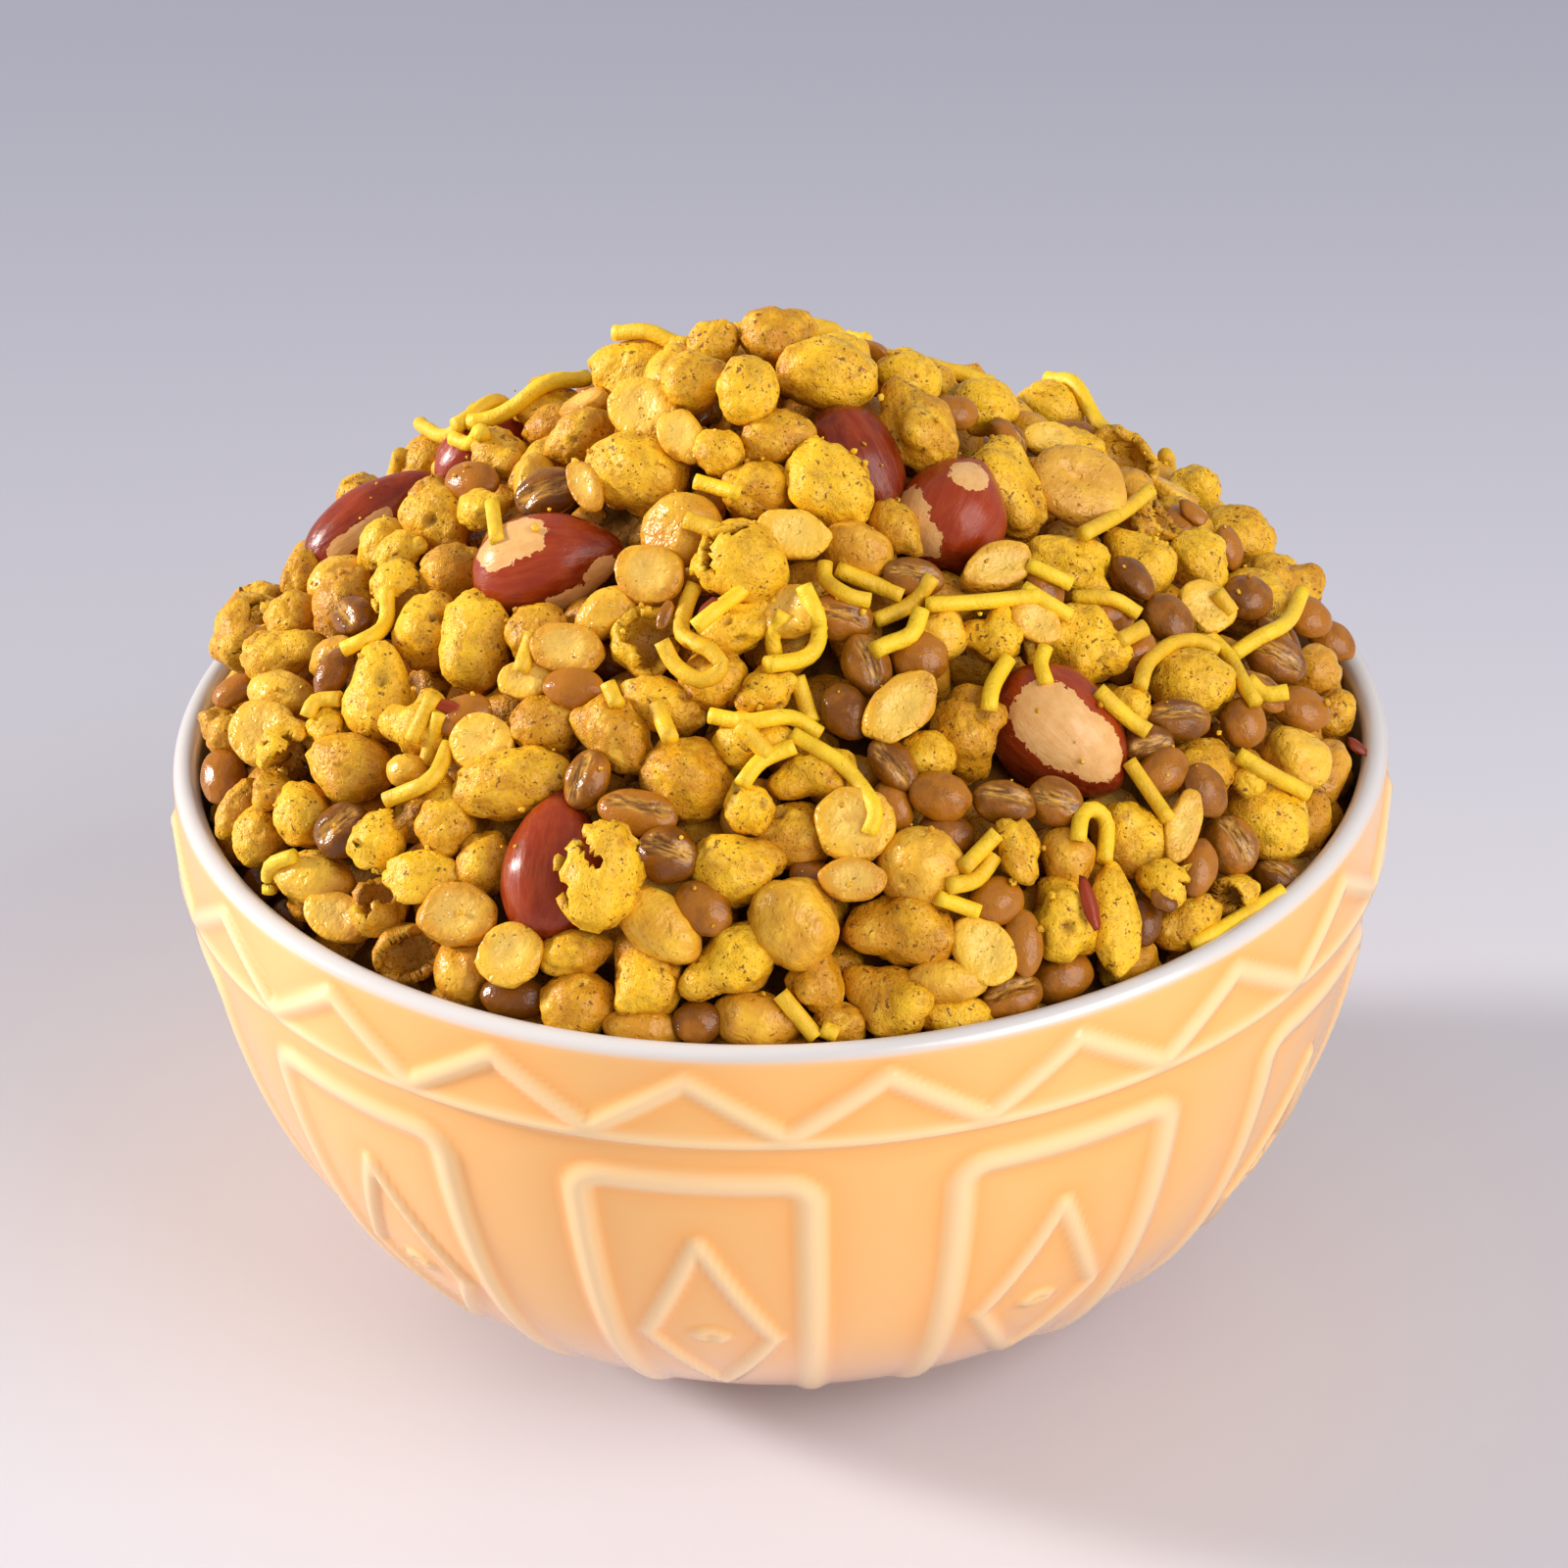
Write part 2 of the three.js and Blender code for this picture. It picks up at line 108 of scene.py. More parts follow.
FIRST_PANEL = -9.4         # turn of the panel nearest the front, degrees
FRAME_WIDTH, FRAME_HALF, FRAME_TOP, FRAME_CORNER = 2.6, 11.0, 50.4, 3.2
DIAMOND_WIDTH, DIAMOND_HALF = 1.7, 6.9
DIAMOND_TOP, DIAMOND_WAIST, DIAMOND_FOOT = 41.0, 24.4, 12.8
STUD_LENGTH, STUD_HEIGHT = 4.4, 3.2
ZIGZAG_WIDTH, ZIGZAG_TOP, ZIGZAG_FOOT = 1.9, 64.4, 57.4

# The heap: where its edge drops to the wall, by how much and how sharply, and its blunt top.
HEAP_EDGE, EDGE_DROP, EDGE_SHARPNESS, HEAP_BLUNT = 67.0, 8.0, 14, 8.0
CORE_DEPTH = 13.0          # how far the core lies below the heap
SHELL_WALL = 1.1           # of a burst puff
NOODLE_SIDES = 10
NEAR = 22.0                # pieces further apart than this can't touch

RIM_PIXEL = (795.7, 747.6)  # the middle of the rim in the 1600-pixel photo
IMAGE_WIDTH = 1600
SENSOR = 36.0
SIGHT_NEAR, SIGHT_FAR, SIGHT_STEP = 700.0, 900.0, 0.5  # where a line of sight meets the heap
FACING = 0.8               # how far the pieces that show are turned towards the eye

# How sharply grown-together drops join, and how sharp the edge of a pressed side is.
LOBE_JOIN, FLAT_EDGE = 18, 16
# Lumps in a skin: how finely they lie, and their height as a share of the piece.
PUFF_WAVES = [(3.9, 0.05), (8.5, 0.035), (17.0, 0.012)]
GRAM_WAVES = [(1.6, 0.08), (4.0, 0.04), (10.0, 0.015)]

TRIES = 14                 # places looked at for each drawn piece
ROUTE_STEP = 7             # pixels of the photo from point to point along a noodle
WALL_LAYERS = ("ridge", "pool", "white", "foot")

# Colours beside those in the settings.
FOOT_GLAZE = (0.90, 0.56, 0.36, 1)
PUFF_DUST = (0.93, 0.58, 0.055, 1)
PUFF_TOAST = (0.42, 0.15, 0.008, 1)
PUFF_SPICE = (0.18, 0.055, 0.006, 1)
# Painted shade, laid into the puffs' creases, the middles of their pits and the inner side of burst
# shells.
PUFF_CREASE_SHADE = (0.20, 0.075, 0.008, 1)
GRAM_INSIDE = (0.90, 0.60, 0.13, 1)
GRAM_TOAST = (0.55, 0.22, 0.015, 1)
GRAM_SPICE = (0.22, 0.075, 0.01, 1)
LENTIL_GAP = (0.16, 0.055, 0.010, 1)
LENTIL_SEED = (0.72, 0.36, 0.05, 1)
SKIN_LINE = (0.45, 0.09, 0.016, 1)
KERNEL = (0.78, 0.44, 0.16, 1)
KERNEL_TOAST = (0.72, 0.37, 0.115, 1)
NOODLE_SPICE = (0.40, 0.18, 0.008, 1)
# Painted shade: the heap core is mottled near black and stands in for the shadow in the gaps between
# the pieces.
CORE_SHADE_PALE = (0.16, 0.065, 0.010, 1)
CORE_SHADE_DEEP = (0.04, 0.015, 0.004, 1)
SKY = (0.93, 0.94, 1.0, 1)

# Each light: way from the bowl, distance and side in metres, and colour.
KEY_LIGHT = ((-0.926, 0.214, 0.31), 3.0, 0.5, (1.0, 0.96, 0.92))
FRONT_LIGHT = ((0.9, -0.7, 0.6), 2.4, 2.0, (1.0, 0.98, 0.97))
LIT_HEIGHT = 0.06          # the height that both lights point at, metres

# The pieces that show, kind by kind: where each is seen in the photo in pixels, the turn of
# its long side as seen, its length and width, and where needed how far it lies over the rest.
SEEN = {
    "peanut": [
        (374, 537, 38, 18.5, 9.2), (560, 577, 14, 17.6, 12.2, 1), (969, 516, 62, 14.2, 12.6, 1),
        (882, 478, -62, 16, 10.5, -1), (1087, 750, -42, 17.6, 14, 1), (560, 884, 82, 17.6, 11.2, 1),
        (497, 456, 38, 13, 8),
    ],
    "half": [(1093, 499, -20, 11.6, 10.2, 0.5)],
    "puff": [
        (791, 344, -10, 9, 8), (731, 349, 20, 6.5, 5.5), (845, 380, -8, 12, 8.8, 1),
        (656, 378, 25, 11.5, 9), (707, 390, 0, 8.4, 7.8, 1.5), (767, 404, 90, 8.4, 7.2, 2),
        (590, 445, 35, 9, 6.2), (653, 477, -28, 12.5, 10, 1), (787, 441, 10, 9, 7),
        (731, 462, 0, 6, 5.8), (777, 501, 0, 8, 7.5, -1), (845, 494, -50, 12, 9.5, 1.5),
        (926, 388, -30, 8, 7), (1005, 416, 0, 9, 7), (1073, 419, -20, 9, 7.5),
        (1216, 497, 10, 8, 6), (1222, 573, -60, 8.5, 7), (1263, 551, -20, 9.5, 9),
        (512, 467, 0, 7.5, 7), (439, 472, 0, 7.5, 7), (367, 506, 60, 6, 5.5),
        (461, 586, 10, 8.5, 7.5), (350, 622, 100, 10.5, 8.5), (439, 644, 80, 9.5, 8.5),
        (488, 655, 95, 12.5, 8.8), (265, 617, 10, 7.5, 5.5), (299, 630, 30, 6.5, 6),
        (311, 583, 80, 7, 4.5), (289, 671, -5, 10.5, 6.5), (354, 785, -10, 10.5, 8.5, 0.5),
        (226, 739, 0, 5.5, 5), (514, 797, 10, 14, 8, 1), (556, 739, 0, 8, 6.8),
        (245, 827, 55, 8, 5), (311, 831, 110, 8, 6.8), (267, 851, 90, 7.5, 6.8),
        (495, 886, 60, 8, 7, -1), (630, 752, -60, 10.5, 7.5, 1), (700, 795, -20, 11, 9.5, 1),
        (678, 720, -20, 10.5, 6.5, -0.5), (728, 696, 0, 8, 7), (765, 829, -60, 6.5, 5.5),
        (753, 882, -20, 10, 9, 0.5), (811, 853, 0, 9, 8, -1), (592, 1016, 20, 8.8, 8),
        (582, 980, 10, 9, 5.5, -1), (973, 1034, 0, 8.5, 5, -0.5), (863, 1036, 0, 6, 5, -1),
        (947, 772, -20, 6.5, 6), (1216, 698, -5, 10.5, 8), (1158, 858, -60, 9, 8.5),
        (1296, 843, -30, 11, 10, 0.5), (1348, 841, 70, 8.5, 6.5), (1271, 795, 0, 4.5, 4),
        (1138, 938, 95, 13.5, 5.8, 1), (1214, 942, 30, 9, 6), (1160, 722, -20, 5.5, 5),
        (1375, 728, 60, 6.5, 6), (1386, 690, -10, 6, 4.5), (750, 644, 25, 10, 5.5),
    ],
    "knob": [
        (555, 418, -15, 9.5, 7.5), (928, 440, -70, 12.5, 9.5, 1.5), (1030, 501, -60, 13, 10, -0.5),
        (1090, 574, -15, 11, 7.5), (1322, 598, 0, 7, 7), (408, 564, 40, 7, 5),
        (335, 744, 0, 5.5, 4.5), (279, 810, 0, 5.5, 5), (437, 900, 0, 9, 6.5, 0.5),
        (777, 705, 0, 7, 6.2), (828, 793, -10, 9.5, 6.8), (918, 948, 5, 12.5, 9),
        (833, 1000, -70, 8, 6.5, -0.5), (1013, 647, 0, 7, 6.8), (1108, 655, -40, 11, 9),
        (985, 748, -60, 10.5, 9.5, 0.5), (1229, 779, -60, 9, 8.2), (1083, 935, -60, 10, 8, 1),
        (1040, 868, -65, 8, 5.4, 1.5),
    ],
    "drop": [
        (451, 533, -50, 9.5, 8.5), (1158, 574, 130, 10, 8.5), (386, 708, 97, 12, 8.8, 1),
        (459, 830, 98, 10, 7), (742, 985, 205, 11.5, 8), (656, 1000, 112, 10.5, 8.6),
        (902, 1016, 150, 10.5, 8.5, 0.5),
    ],
    "shell": [
        (1146, 470, -30, 9, 7.5), (1178, 533, -20, 8, 6.5), (386, 923, 80, 8, 7.2, -0.5),
        (408, 977, 10, 8, 7), (1258, 913, 20, 6.5, 5), (655, 651, 70, 9, 8),
    ],
    "flake": [
        (220, 648, -30, 12, 10.5, 3.5), (386, 858, 60, 7.5, 6.5), (617, 894, 80, 13, 10, 3.4),
        (763, 572, -35, 11.5, 9.5, 1), (1185, 900, -40, 7, 5.5),
    ],
    "gram": [
        (663, 426, -30, 9, 7.5, -0.5), (699, 453, -60, 7, 5, -1), (692, 545, 0, 9.3, 8.8, 0.5),
        (663, 588, -20, 8, 7.2), (624, 625, 35, 8, 5.2), (808, 552, -12, 8.5, 5.8),
        (871, 559, -30, 8.5, 6.5), (583, 662, -12, 8.5, 6), (602, 496, -65, 7, 3.6),
        (542, 484, 60, 6, 5, -1), (1068, 450, 0, 7, 4), (1013, 581, 20, 9, 5.5),
        (1051, 637, -40, 6.5, 5), (959, 649, 30, 7, 6, -1), (1227, 624, 20, 7, 6.8),
        (275, 747, -40, 8.5, 7.8, 0.5), (285, 714, -15, 9.5, 6), (495, 761, 0, 7.5, 7),
        (468, 935, -10, 9, 7.2), (471, 981, 70, 8.6, 8), (530, 974, 40, 7.6, 7),
        (323, 897, -8, 9.8, 6.5), (335, 938, -25, 8.5, 5.5), (413, 785, 0, 4.5, 4),
        (539, 696, 0, 6.5, 4.5, -1), (918, 725, 50, 10, 6.4, 1), (867, 844, -10, 9, 8.2),
        (938, 885, 0, 10, 9.2, 1.5), (811, 941, 100, 10.6, 9.8, 1), (869, 899, 0, 7.5, 4.8),
        (680, 942, -42, 10.5, 7, 0.5), (765, 1038, -8, 10, 6.6), (655, 1047, -5, 9, 5),
        (1001, 972, -60, 8.6, 6.4), (967, 997, -5, 9, 5), (1090, 875, -60, 7, 6.2),
        (1327, 770, -30, 8.5, 6.8, 0.5), (1371, 787, 70, 9, 6), (1202, 846, 75, 9, 4),
        (1345, 679, 10, 6.6, 5.8),
    ],
    "lentil": [
        (480, 494, -10, 7, 5.2), (976, 421, 0, 5.5, 4.5, -1), (1192, 632, -45, 6.8, 5.6),
        (1124, 632, -10, 6.8, 5, -1), (1273, 610, 20, 6.5, 5.9), (1335, 630, -20, 6, 5.5),
        (1359, 653, -35, 6.4, 5.2), (1327, 724, -15, 7, 5.6), (1269, 737, 80, 6.4, 5.4),
        (959, 817, -15, 7, 5.6), (864, 727, -60, 6.8, 5.4), (585, 705, -8, 7, 4.8),
        (478, 737, 20, 6.4, 4.8), (340, 686, 60, 6.4, 4), (238, 705, 30, 5.5, 3.8),
        (228, 793, 100, 7.2, 5.6), (940, 669, 0, 6.4, 6), (1015, 924, 20, 6.4, 5.6),
        (1042, 962, 95, 7.6, 4.2, 0.5), (1221, 885, 80, 7, 4.8), (1185, 785, 40, 6.8, 5),
        (711, 928, -40, 7.2, 5.6, -0.5), (520, 1019, -8, 7.8, 5.2), (712, 1049, 0, 5.5, 5),
        (1088, 1000, 20, 7.6, 5.8), (1159, 665, 60, 5.5, 4.5, -1), (908, 819, -70, 6, 4.5, -1.5),
        (964, 848, -20, 6.5, 5, -1), (833, 904, -30, 6.5, 4.5, -2), (1168, 938, 80, 6, 4, -1),
    ],
    "burst": [
        (559, 503, 20, 7.8, 6), (857, 630, -12, 7.2, 5.6), (884, 679, -70, 7.4, 5.4),
        (916, 785, -50, 7, 4.5, -0.5), (1025, 819, -10, 7.2, 5.2), (1076, 819, -20, 6.4, 5.8),
        (1300, 671, -30, 8, 6.2, 0.5), (1198, 735, 0, 7.8, 5), (350, 848, 40, 6.8, 6.4),
        (600, 795, 70, 7, 5), (653, 829, -12, 9, 5.2), (681, 873, -20, 7.2, 6.6, 0.5),
        (1254, 864, -60, 7.2, 7), (1029, 1017, 20, 7, 5.2), (930, 588, -10, 7, 4.5),
        (1170, 762, 10, 6, 4.5, -1), (1309, 894, -30, 6, 4.5, -1),
    ],
    "husk": [(678, 627, 70, 3.6, 1.6, 3), (1218, 522, -40, 4, 2.8, 1), (1187, 919, -30, 3.4, 2.4, 1)],
    "skin": [
        (721, 625, 60, 4, 1.8, 3), (454, 720, -10, 3.4, 1.6, 1), (1112, 921, -75, 6.4, 1.8, 2),
        (1397, 776, -40, 3, 1.6, 1),
    ],
}
# Peanuts out of sight at the back: plan place, turn, length and width.
BACK_PEANUTS = [(-30, 36, 50, 15, 10), (4, 48, 20, 16, 11), (36, 34, -35, 17, 11)]
# Where the skin of the peanuts is rubbed off, by their number: directions seen from the
# front as right, up and towards the eye, with a width.
BARE_SPOTS = {
    0: [((-0.6, -0.55, 0.8), 0.35), ((-0.15, -0.25, 1.0), 0.35), ((0.3, 0.05, 1.0), 0.35)],
    1: [((-0.75, 0.5, 0.6), 0.75), ((0.5, -0.8, 0.5), 0.6), ((0.9, -0.1, 0.5), 0.4)],
    2: [((-0.9, -0.1, 0.6), 0.75), ((-0.6, -0.5, 0.8), 0.5), ((0.35, 0.8, 0.5), 0.5)],
    4: [((-0.2, 0.25, 1.0), 0.8), ((0.15, -0.05, 1.0), 0.75), ((0.6, -0.3, 0.8), 0.7)],
}
# The noodles that show: the points of the photo that each runs through.
SEEN_NOODLES = [
    [(395, 600), (391, 640), (350, 663)], [(709, 491), (755, 504)], [(699, 530), (733, 542)],
    [(767, 559), (762, 596), (731, 622), (709, 640)],
    [(709, 596), (699, 622), (697, 648), (725, 664), (736, 682), (716, 694), (690, 680),
     (675, 654)],
    [(820, 598), (835, 634), (833, 659), (818, 673), (782, 678)],
    [(801, 625), (789, 649), (791, 668)], [(842, 574), (843, 592), (866, 608), (888, 613)],
    [(854, 581), (921, 608)], [(952, 588), (930, 616), (892, 634)],
    [(945, 617), (1000, 614), (1061, 608)], [(940, 622), (930, 647), (905, 658), (892, 664)],
    [(1049, 576), (1093, 596)], [(1044, 600), (1092, 629)],
    [(1095, 610), (1135, 611), (1162, 627)], [(1175, 499), (1145, 523), (1105, 545)],
    [(1329, 602), (1314, 634), (1284, 651), (1257, 669)], [(1241, 604), (1257, 626)],
    [(1163, 702), (1171, 677), (1196, 657), (1222, 654), (1243, 663)],
    [(1227, 644), (1253, 669), (1269, 698), (1282, 718)],
    [(1273, 693), (1290, 708), (1314, 706)], [(1169, 640), (1141, 655)],
    [(1067, 660), (1062, 678), (1068, 697)], [(1029, 672), (1013, 700), (1009, 725)],
    [(1120, 704), (1150, 732), (1172, 747)], [(1152, 777), (1193, 837)],
    [(1100, 858), (1104, 832), (1117, 826), (1129, 841), (1127, 878)],
    [(1018, 850), (984, 885)], [(1015, 873), (996, 897), (967, 904)], [(957, 916), (1000, 931)],
    [(1263, 770), (1302, 793), (1336, 810)], [(1309, 908), (1262, 938), (1215, 965)],
    [(347, 713), (322, 716), (313, 732)], [(442, 710), (420, 756)], [(449, 727), (434, 780)],
    [(459, 759), (440, 795), (393, 817)], [(301, 873), (276, 884), (275, 911)],
    [(620, 697), (630, 720)], [(669, 718), (684, 754)],
    [(724, 730), (762, 736), (806, 732), (837, 749)], [(755, 739), (784, 771)],
    [(811, 761), (777, 776), (757, 800)], [(813, 691), (828, 737)],
    [(808, 749), (854, 776), (881, 805), (893, 829), (886, 851)],
    [(796, 1014), (833, 1059)], [(838, 1049), (855, 1056)], [(502, 513), (507, 552)],
    [(544, 647), (531, 686)],
]

# Each kind: its thickness as a share of its width. Drawn pieces also have a share of the
# draws, least and greatest length, and width as a share of the length.
THICKNESS = {
    "peanut": 0.94, "half": 0.5, "puff": 0.92, "knob": 0.86, "drop": 0.86, "shell": 0.85,
    "flake": 0.6, "gram": 0.66, "lentil": 0.66, "burst": 0.7, "husk": 0.3, "skin": 0.3,
}
DRAWN = {
    "puff": (0.34, 7, 12, 0.84), "knob": (0.16, 7, 12, 0.82), "drop": (0.07, 8, 11, 0.8),
    "shell": (0.05, 8, 11, 0.84), "flake": (0.03, 7, 10, 0.8), "gram": (0.18, 7, 10, 0.76),
    "lentil": (0.11, 5.8, 7.2, 0.82), "burst": (0.06, 6.2, 7.6, 0.78),
}


# ---------------------------------------------------------------- settings

class BowlSettings(bpy.types.PropertyGroup):
    relief: FloatProperty(
        name="Relief", description="Height of the raised pattern",
        default=0.65 * MM, unit="LENGTH")
    columns: IntProperty(
        name="Columns", description="Faces round the wall", default=560)
    step: FloatProperty(
        name="Row height", description="Height of a row of faces on the outer wall",
        default=0.62 * MM, unit="LENGTH")
    panels: IntProperty(
        name="Panels", description="Frames round the belly", default=10)
    glaze: FloatVectorProperty(
        name="Glaze", description="Glaze on the flats",
        default=(0.96, 0.50, 0.145), subtype="COLOR")
    thin_glaze: FloatVectorProperty(
        name="Thin glaze", description="Glaze where it runs thin over the ridges",
        default=(0.97, 0.685, 0.36), subtype="COLOR")
    deep_glaze: FloatVectorProperty(
        name="Deep glaze", description="Glaze where it gathers beside the ridges",
        default=(0.96, 0.40, 0.08), subtype="COLOR")
    body_white: FloatVectorProperty(
        name="White", description="Lip and inside",
        default=(0.70, 0.655, 0.625), subtype="COLOR")


class HeapSettings(bpy.types.PropertyGroup):
    crown: FloatProperty(
        name="Crown", description="Height of the heap above the rim",
        default=52 * MM, unit="LENGTH")
    slope: FloatProperty(
        name="Slope", description="Fall of the heap's side", default=0.71)
    seed: IntProperty(
        name="Seed", description="Start of the random draws", default=2026)
    top_count: IntProperty(
        name="Top pieces", description="Drawn pieces that lie on top", default=220)
    under_count: IntProperty(
        name="Under pieces", description="Drawn pieces below those", default=240)
    noodle_count: IntProperty(
        name="Noodles", description="Drawn noodles at the back", default=22)
    crumb_count: IntProperty(
        name="Crumbs", description="Small crumbs on the heap", default=420)
    noodle_radius: FloatProperty(
        name="Noodle radius", description="Half the thickness of a noodle",
        default=0.95 * MM, unit="LENGTH")
    puff_colour: FloatVectorProperty(
        name="Puffs", description="Fried gram flour",
        default=(0.90, 0.50, 0.012), subtype="COLOR")
    gram_colour: FloatVectorProperty(
        name="Split gram", description="Roasted split gram",
        default=(0.87, 0.49, 0.034), subtype="COLOR")
    lentil_colour: FloatVectorProperty(
        name="Lentils", description="Fried brown lentils",
        default=(0.42, 0.145, 0.008), subtype="COLOR")
    skin_colour: FloatVectorProperty(
        name="Peanut skin", description="Red skin of the peanuts",
        default=(0.31, 0.029, 0.003), subtype="COLOR")
    noodle_colour: FloatVectorProperty(
        name="Noodles", description="Gram-flour noodles",
        default=(0.92, 0.58, 0.010), subtype="COLOR")


class StageSettings(bpy.types.PropertyGroup):
    floor_colour: FloatVectorProperty(
        name="Floor", description="Floor near the bowl",
        default=(0.66, 0.65, 0.70), subtype="COLOR")
    far_floor_shade: FloatVectorProperty(
        # Painted shade: the floor darkens towards this colour further back, where the light falls
        # off.
        name="Far floor", description="Floor behind the bowl",
        default=(0.31, 0.31, 0.375), subtype="COLOR")
    distance: FloatProperty(
        name="Camera distance", description="From the middle of the rim to the camera",
        default=808.45 * MM, unit="LENGTH")
    elevation: FloatProperty(
        name="Camera elevation", description="Angle of the camera above the table",
        default=math.radians(29.98), unit="ROTATION")
    roll: FloatProperty(
        name="Camera roll", description="Turn of the camera about its own axis",
        default=math.radians(-1.78), unit="ROTATION")
    lens: FloatProperty(
        name="Lens", description="Focal length in millimetres", default=160.78)
    key_power: FloatProperty(
        name="Key light", description="Power of the light from the left",
        default=118.0, unit="POWER")
    fill_power: FloatProperty(
        name="Fill light", description="Power of the light from the front",
        default=52.0, unit="POWER")
    sky: FloatProperty(
        name="Sky", description="Strength of the even light all round", default=0.54)


# ---------------------------------------------------------------- small helpers

def smooth(low, high, value):
    """0 below low, 1 above high, and a smooth rise between them."""
    share = min(1.0, max(0.0, (value - low) / (high - low)))
    return share * share * (3 - 2 * share)


def camera_axes(stage):
    """Where the camera stands, in millimetres, and its right, up and back directions."""
    back = Vector((0.0, -math.cos(stage.elevation), math.sin(stage.elevation)))
    axes = back.to_track_quat("Z", "Y").to_matrix() @ Matrix.Rotation(stage.roll, 3, "Z")
    return Vector((0.0, 0.0, RIM_HEIGHT)) + back * (stage.distance / MM), axes


def line_of_sight(x, y):
    """Where the camera stands and the direction in which it sees a pixel of the photo."""
    stage = bpy.context.scene.snack_stage
    start, axes = camera_axes(stage)
    focal = stage.lens / SENSOR * IMAGE_WIDTH
    return start, (axes @ Vector((x - RIM_PIXEL[0], RIM_PIXEL[1] - y, -focal))).normalized()


def mesh_of(bm, name):
    """Turns a bmesh into a mesh and frees it."""
    mesh = bpy.data.meshes.new(name)
    bm.to_mesh(mesh)
    bm.free()
    return mesh


def finish(name, mesh, material, replaced=None):
    """Turns a mesh in millimetres into a finished piece that rides on the body."""
    mesh.transform(Matrix.Scale(MM, 4))
    mesh.materials.append(material)
    mesh.polygons.foreach_set("use_smooth", [True] * len(mesh.polygons))
    piece = bpy.data.objects.new(name, mesh)
    bpy.context.scene.collection.objects.link(piece)
    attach(piece, BODY)
    if replaced:
        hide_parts(replaced)
    return piece


def add(tree, kind, inputs=None, **settings):
    """A node with its settings made, its sockets set to values or joined to other sockets."""
    made = tree.nodes.new(kind)
    for name, value in settings.items():
        setattr(made, name, value)
    for name, value in (inputs or {}).items():
        socket = made.inputs[name]
        if isinstance(value, bpy.types.NodeSocket):
            tree.links.new(value, socket)
        else:
            socket.default_value = value
    return made


def maths(tree, operation, *values):
    return add(tree, "ShaderNodeMath", dict(enumerate(values)), operation=operation).outputs[0]


def mixed(tree, factor, first, second):
    """A colour mix. In a colour Mix node the factor is socket 0 and the colours 6 and 7."""
    inputs = {0: factor, 6: first, 7: second}
    return add(tree, "ShaderNodeMix", inputs, data_type="RGBA").outputs[2]


def ramp(tree, value, low, high, to_low=0.0, to_high=1.0):
    inputs = {"Value": value, "From Min": low, "From Max": high,
              "To Min": to_low, "To Max": to_high}
    return add(tree, "ShaderNodeMapRange", inputs, interpolation_type="SMOOTHSTEP").outputs[0]


def opaque(colour):
    return (*colour, 1.0)


def group(name, inputs, outputs, fill):
    """A shader node group, built once: inputs are name, kind and default."""
    if name in bpy.data.node_groups:
        return bpy.data.node_groups[name]
    tree = bpy.data.node_groups.new(name, "ShaderNodeTree")
    for label, kind, default in inputs:
        socket = tree.interface.new_socket(label, in_out="INPUT", socket_type=kind)
        if default is not None:
            socket.default_value = default
    for label, kind in outputs:
        tree.interface.new_socket(label, in_out="OUTPUT", socket_type=kind)
    entry = tree.nodes.new("NodeGroupInput").outputs
    result = tree.nodes.new("NodeGroupOutput").inputs
    fill(tree, entry, result)
    return tree


def use(tree, shared, inputs):
    return add(tree, "ShaderNodeGroup", inputs, node_tree=shared).outputs


def noisy(tree, place, scale, detail=2.0, rough=0.5):
    inputs = {"Vector": place, "Scale": scale, "Detail": detail, "Roughness": rough}
    return add(tree, "ShaderNodeTexNoise", inputs).outputs["Fac"]


def attribute(tree, name):
    return add(tree, "ShaderNodeAttribute", attribute_name=name).outputs


# ---------------------------------------------------------------- shared effects

def specks_group():
    """Small dark grains of spice, in patches."""
    def fill(tree, entry, result):
        fine = noisy(tree, entry["Vector"], entry["Scale"], detail=1.5)
        patch_scale = maths(tree, "MULTIPLY", entry["Scale"], 0.22)
        patches = noisy(tree, entry["Vector"], patch_scale, detail=1.0)
        level = maths(tree, "MULTIPLY_ADD", patches, 0.35, fine)
        edge = maths(tree, "SUBTRACT", 1.0, entry["Amount"])
        rise = maths(tree, "ADD", edge, 0.05)
        tree.links.new(ramp(tree, level, edge, rise), result["Mask"])
    return group("spice_specks", [
        ("Vector", "NodeSocketVector", None),
        ("Scale", "NodeSocketFloat", 1.0),
        ("Amount", "NodeSocketFloat", 0.1),
    ], [("Mask", "NodeSocketFloat")], fill)


def mottle_group():
    """A colour that drifts between two tones over a piece and from piece to piece."""
    def fill(tree, entry, result):
        drift = noisy(tree, entry["Vector"], entry["Scale"], detail=3.0, rough=0.6)
        level = maths(tree, "MULTIPLY_ADD", entry["Tint"], 0.5, drift)
        share = ramp(tree, level, 0.55, 1.08)
        tree.links.new(mixed(tree, share, entry["Light"], entry["Dark"]), result["Color"])
    return group("mottled_tone", [
        ("Vector", "NodeSocketVector", None),
        ("Scale", "NodeSocketFloat", 1.0),
        ("Tint", "NodeSocketFloat", 0.5),
        ("Light", "NodeSocketColor", (1, 1, 1, 1)),
        ("Dark", "NodeSocketColor", (0, 0, 0, 1)),
    ], [("Color", "NodeSocketColor")], fill)


def crinkle_group():
    """Height of a fried surface: soft lumps with small pores."""
    def fill(tree, entry, result):
        lumps = noisy(tree, entry["Vector"], entry["Scale"], detail=3.0, rough=0.62)
        pore_scale = maths(tree, "MULTIPLY", entry["Scale"], 2.6)
        pores = noisy(tree, entry["Vector"], pore_scale, detail=1.0)
        holes = ramp(tree, pores, 0.62, 0.74)
        sunk = maths(tree, "MULTIPLY", holes, entry["Pores"])
        tree.links.new(maths(tree, "SUBTRACT", lumps, sunk), result["Height"])
    return group("fried_crinkle", [
        ("Vector", "NodeSocketVector", None),
        ("Scale", "NodeSocketFloat", 1.0),
        ("Pores", "NodeSocketFloat", 0.5),
    ], [("Height", "NodeSocketFloat")], fill)


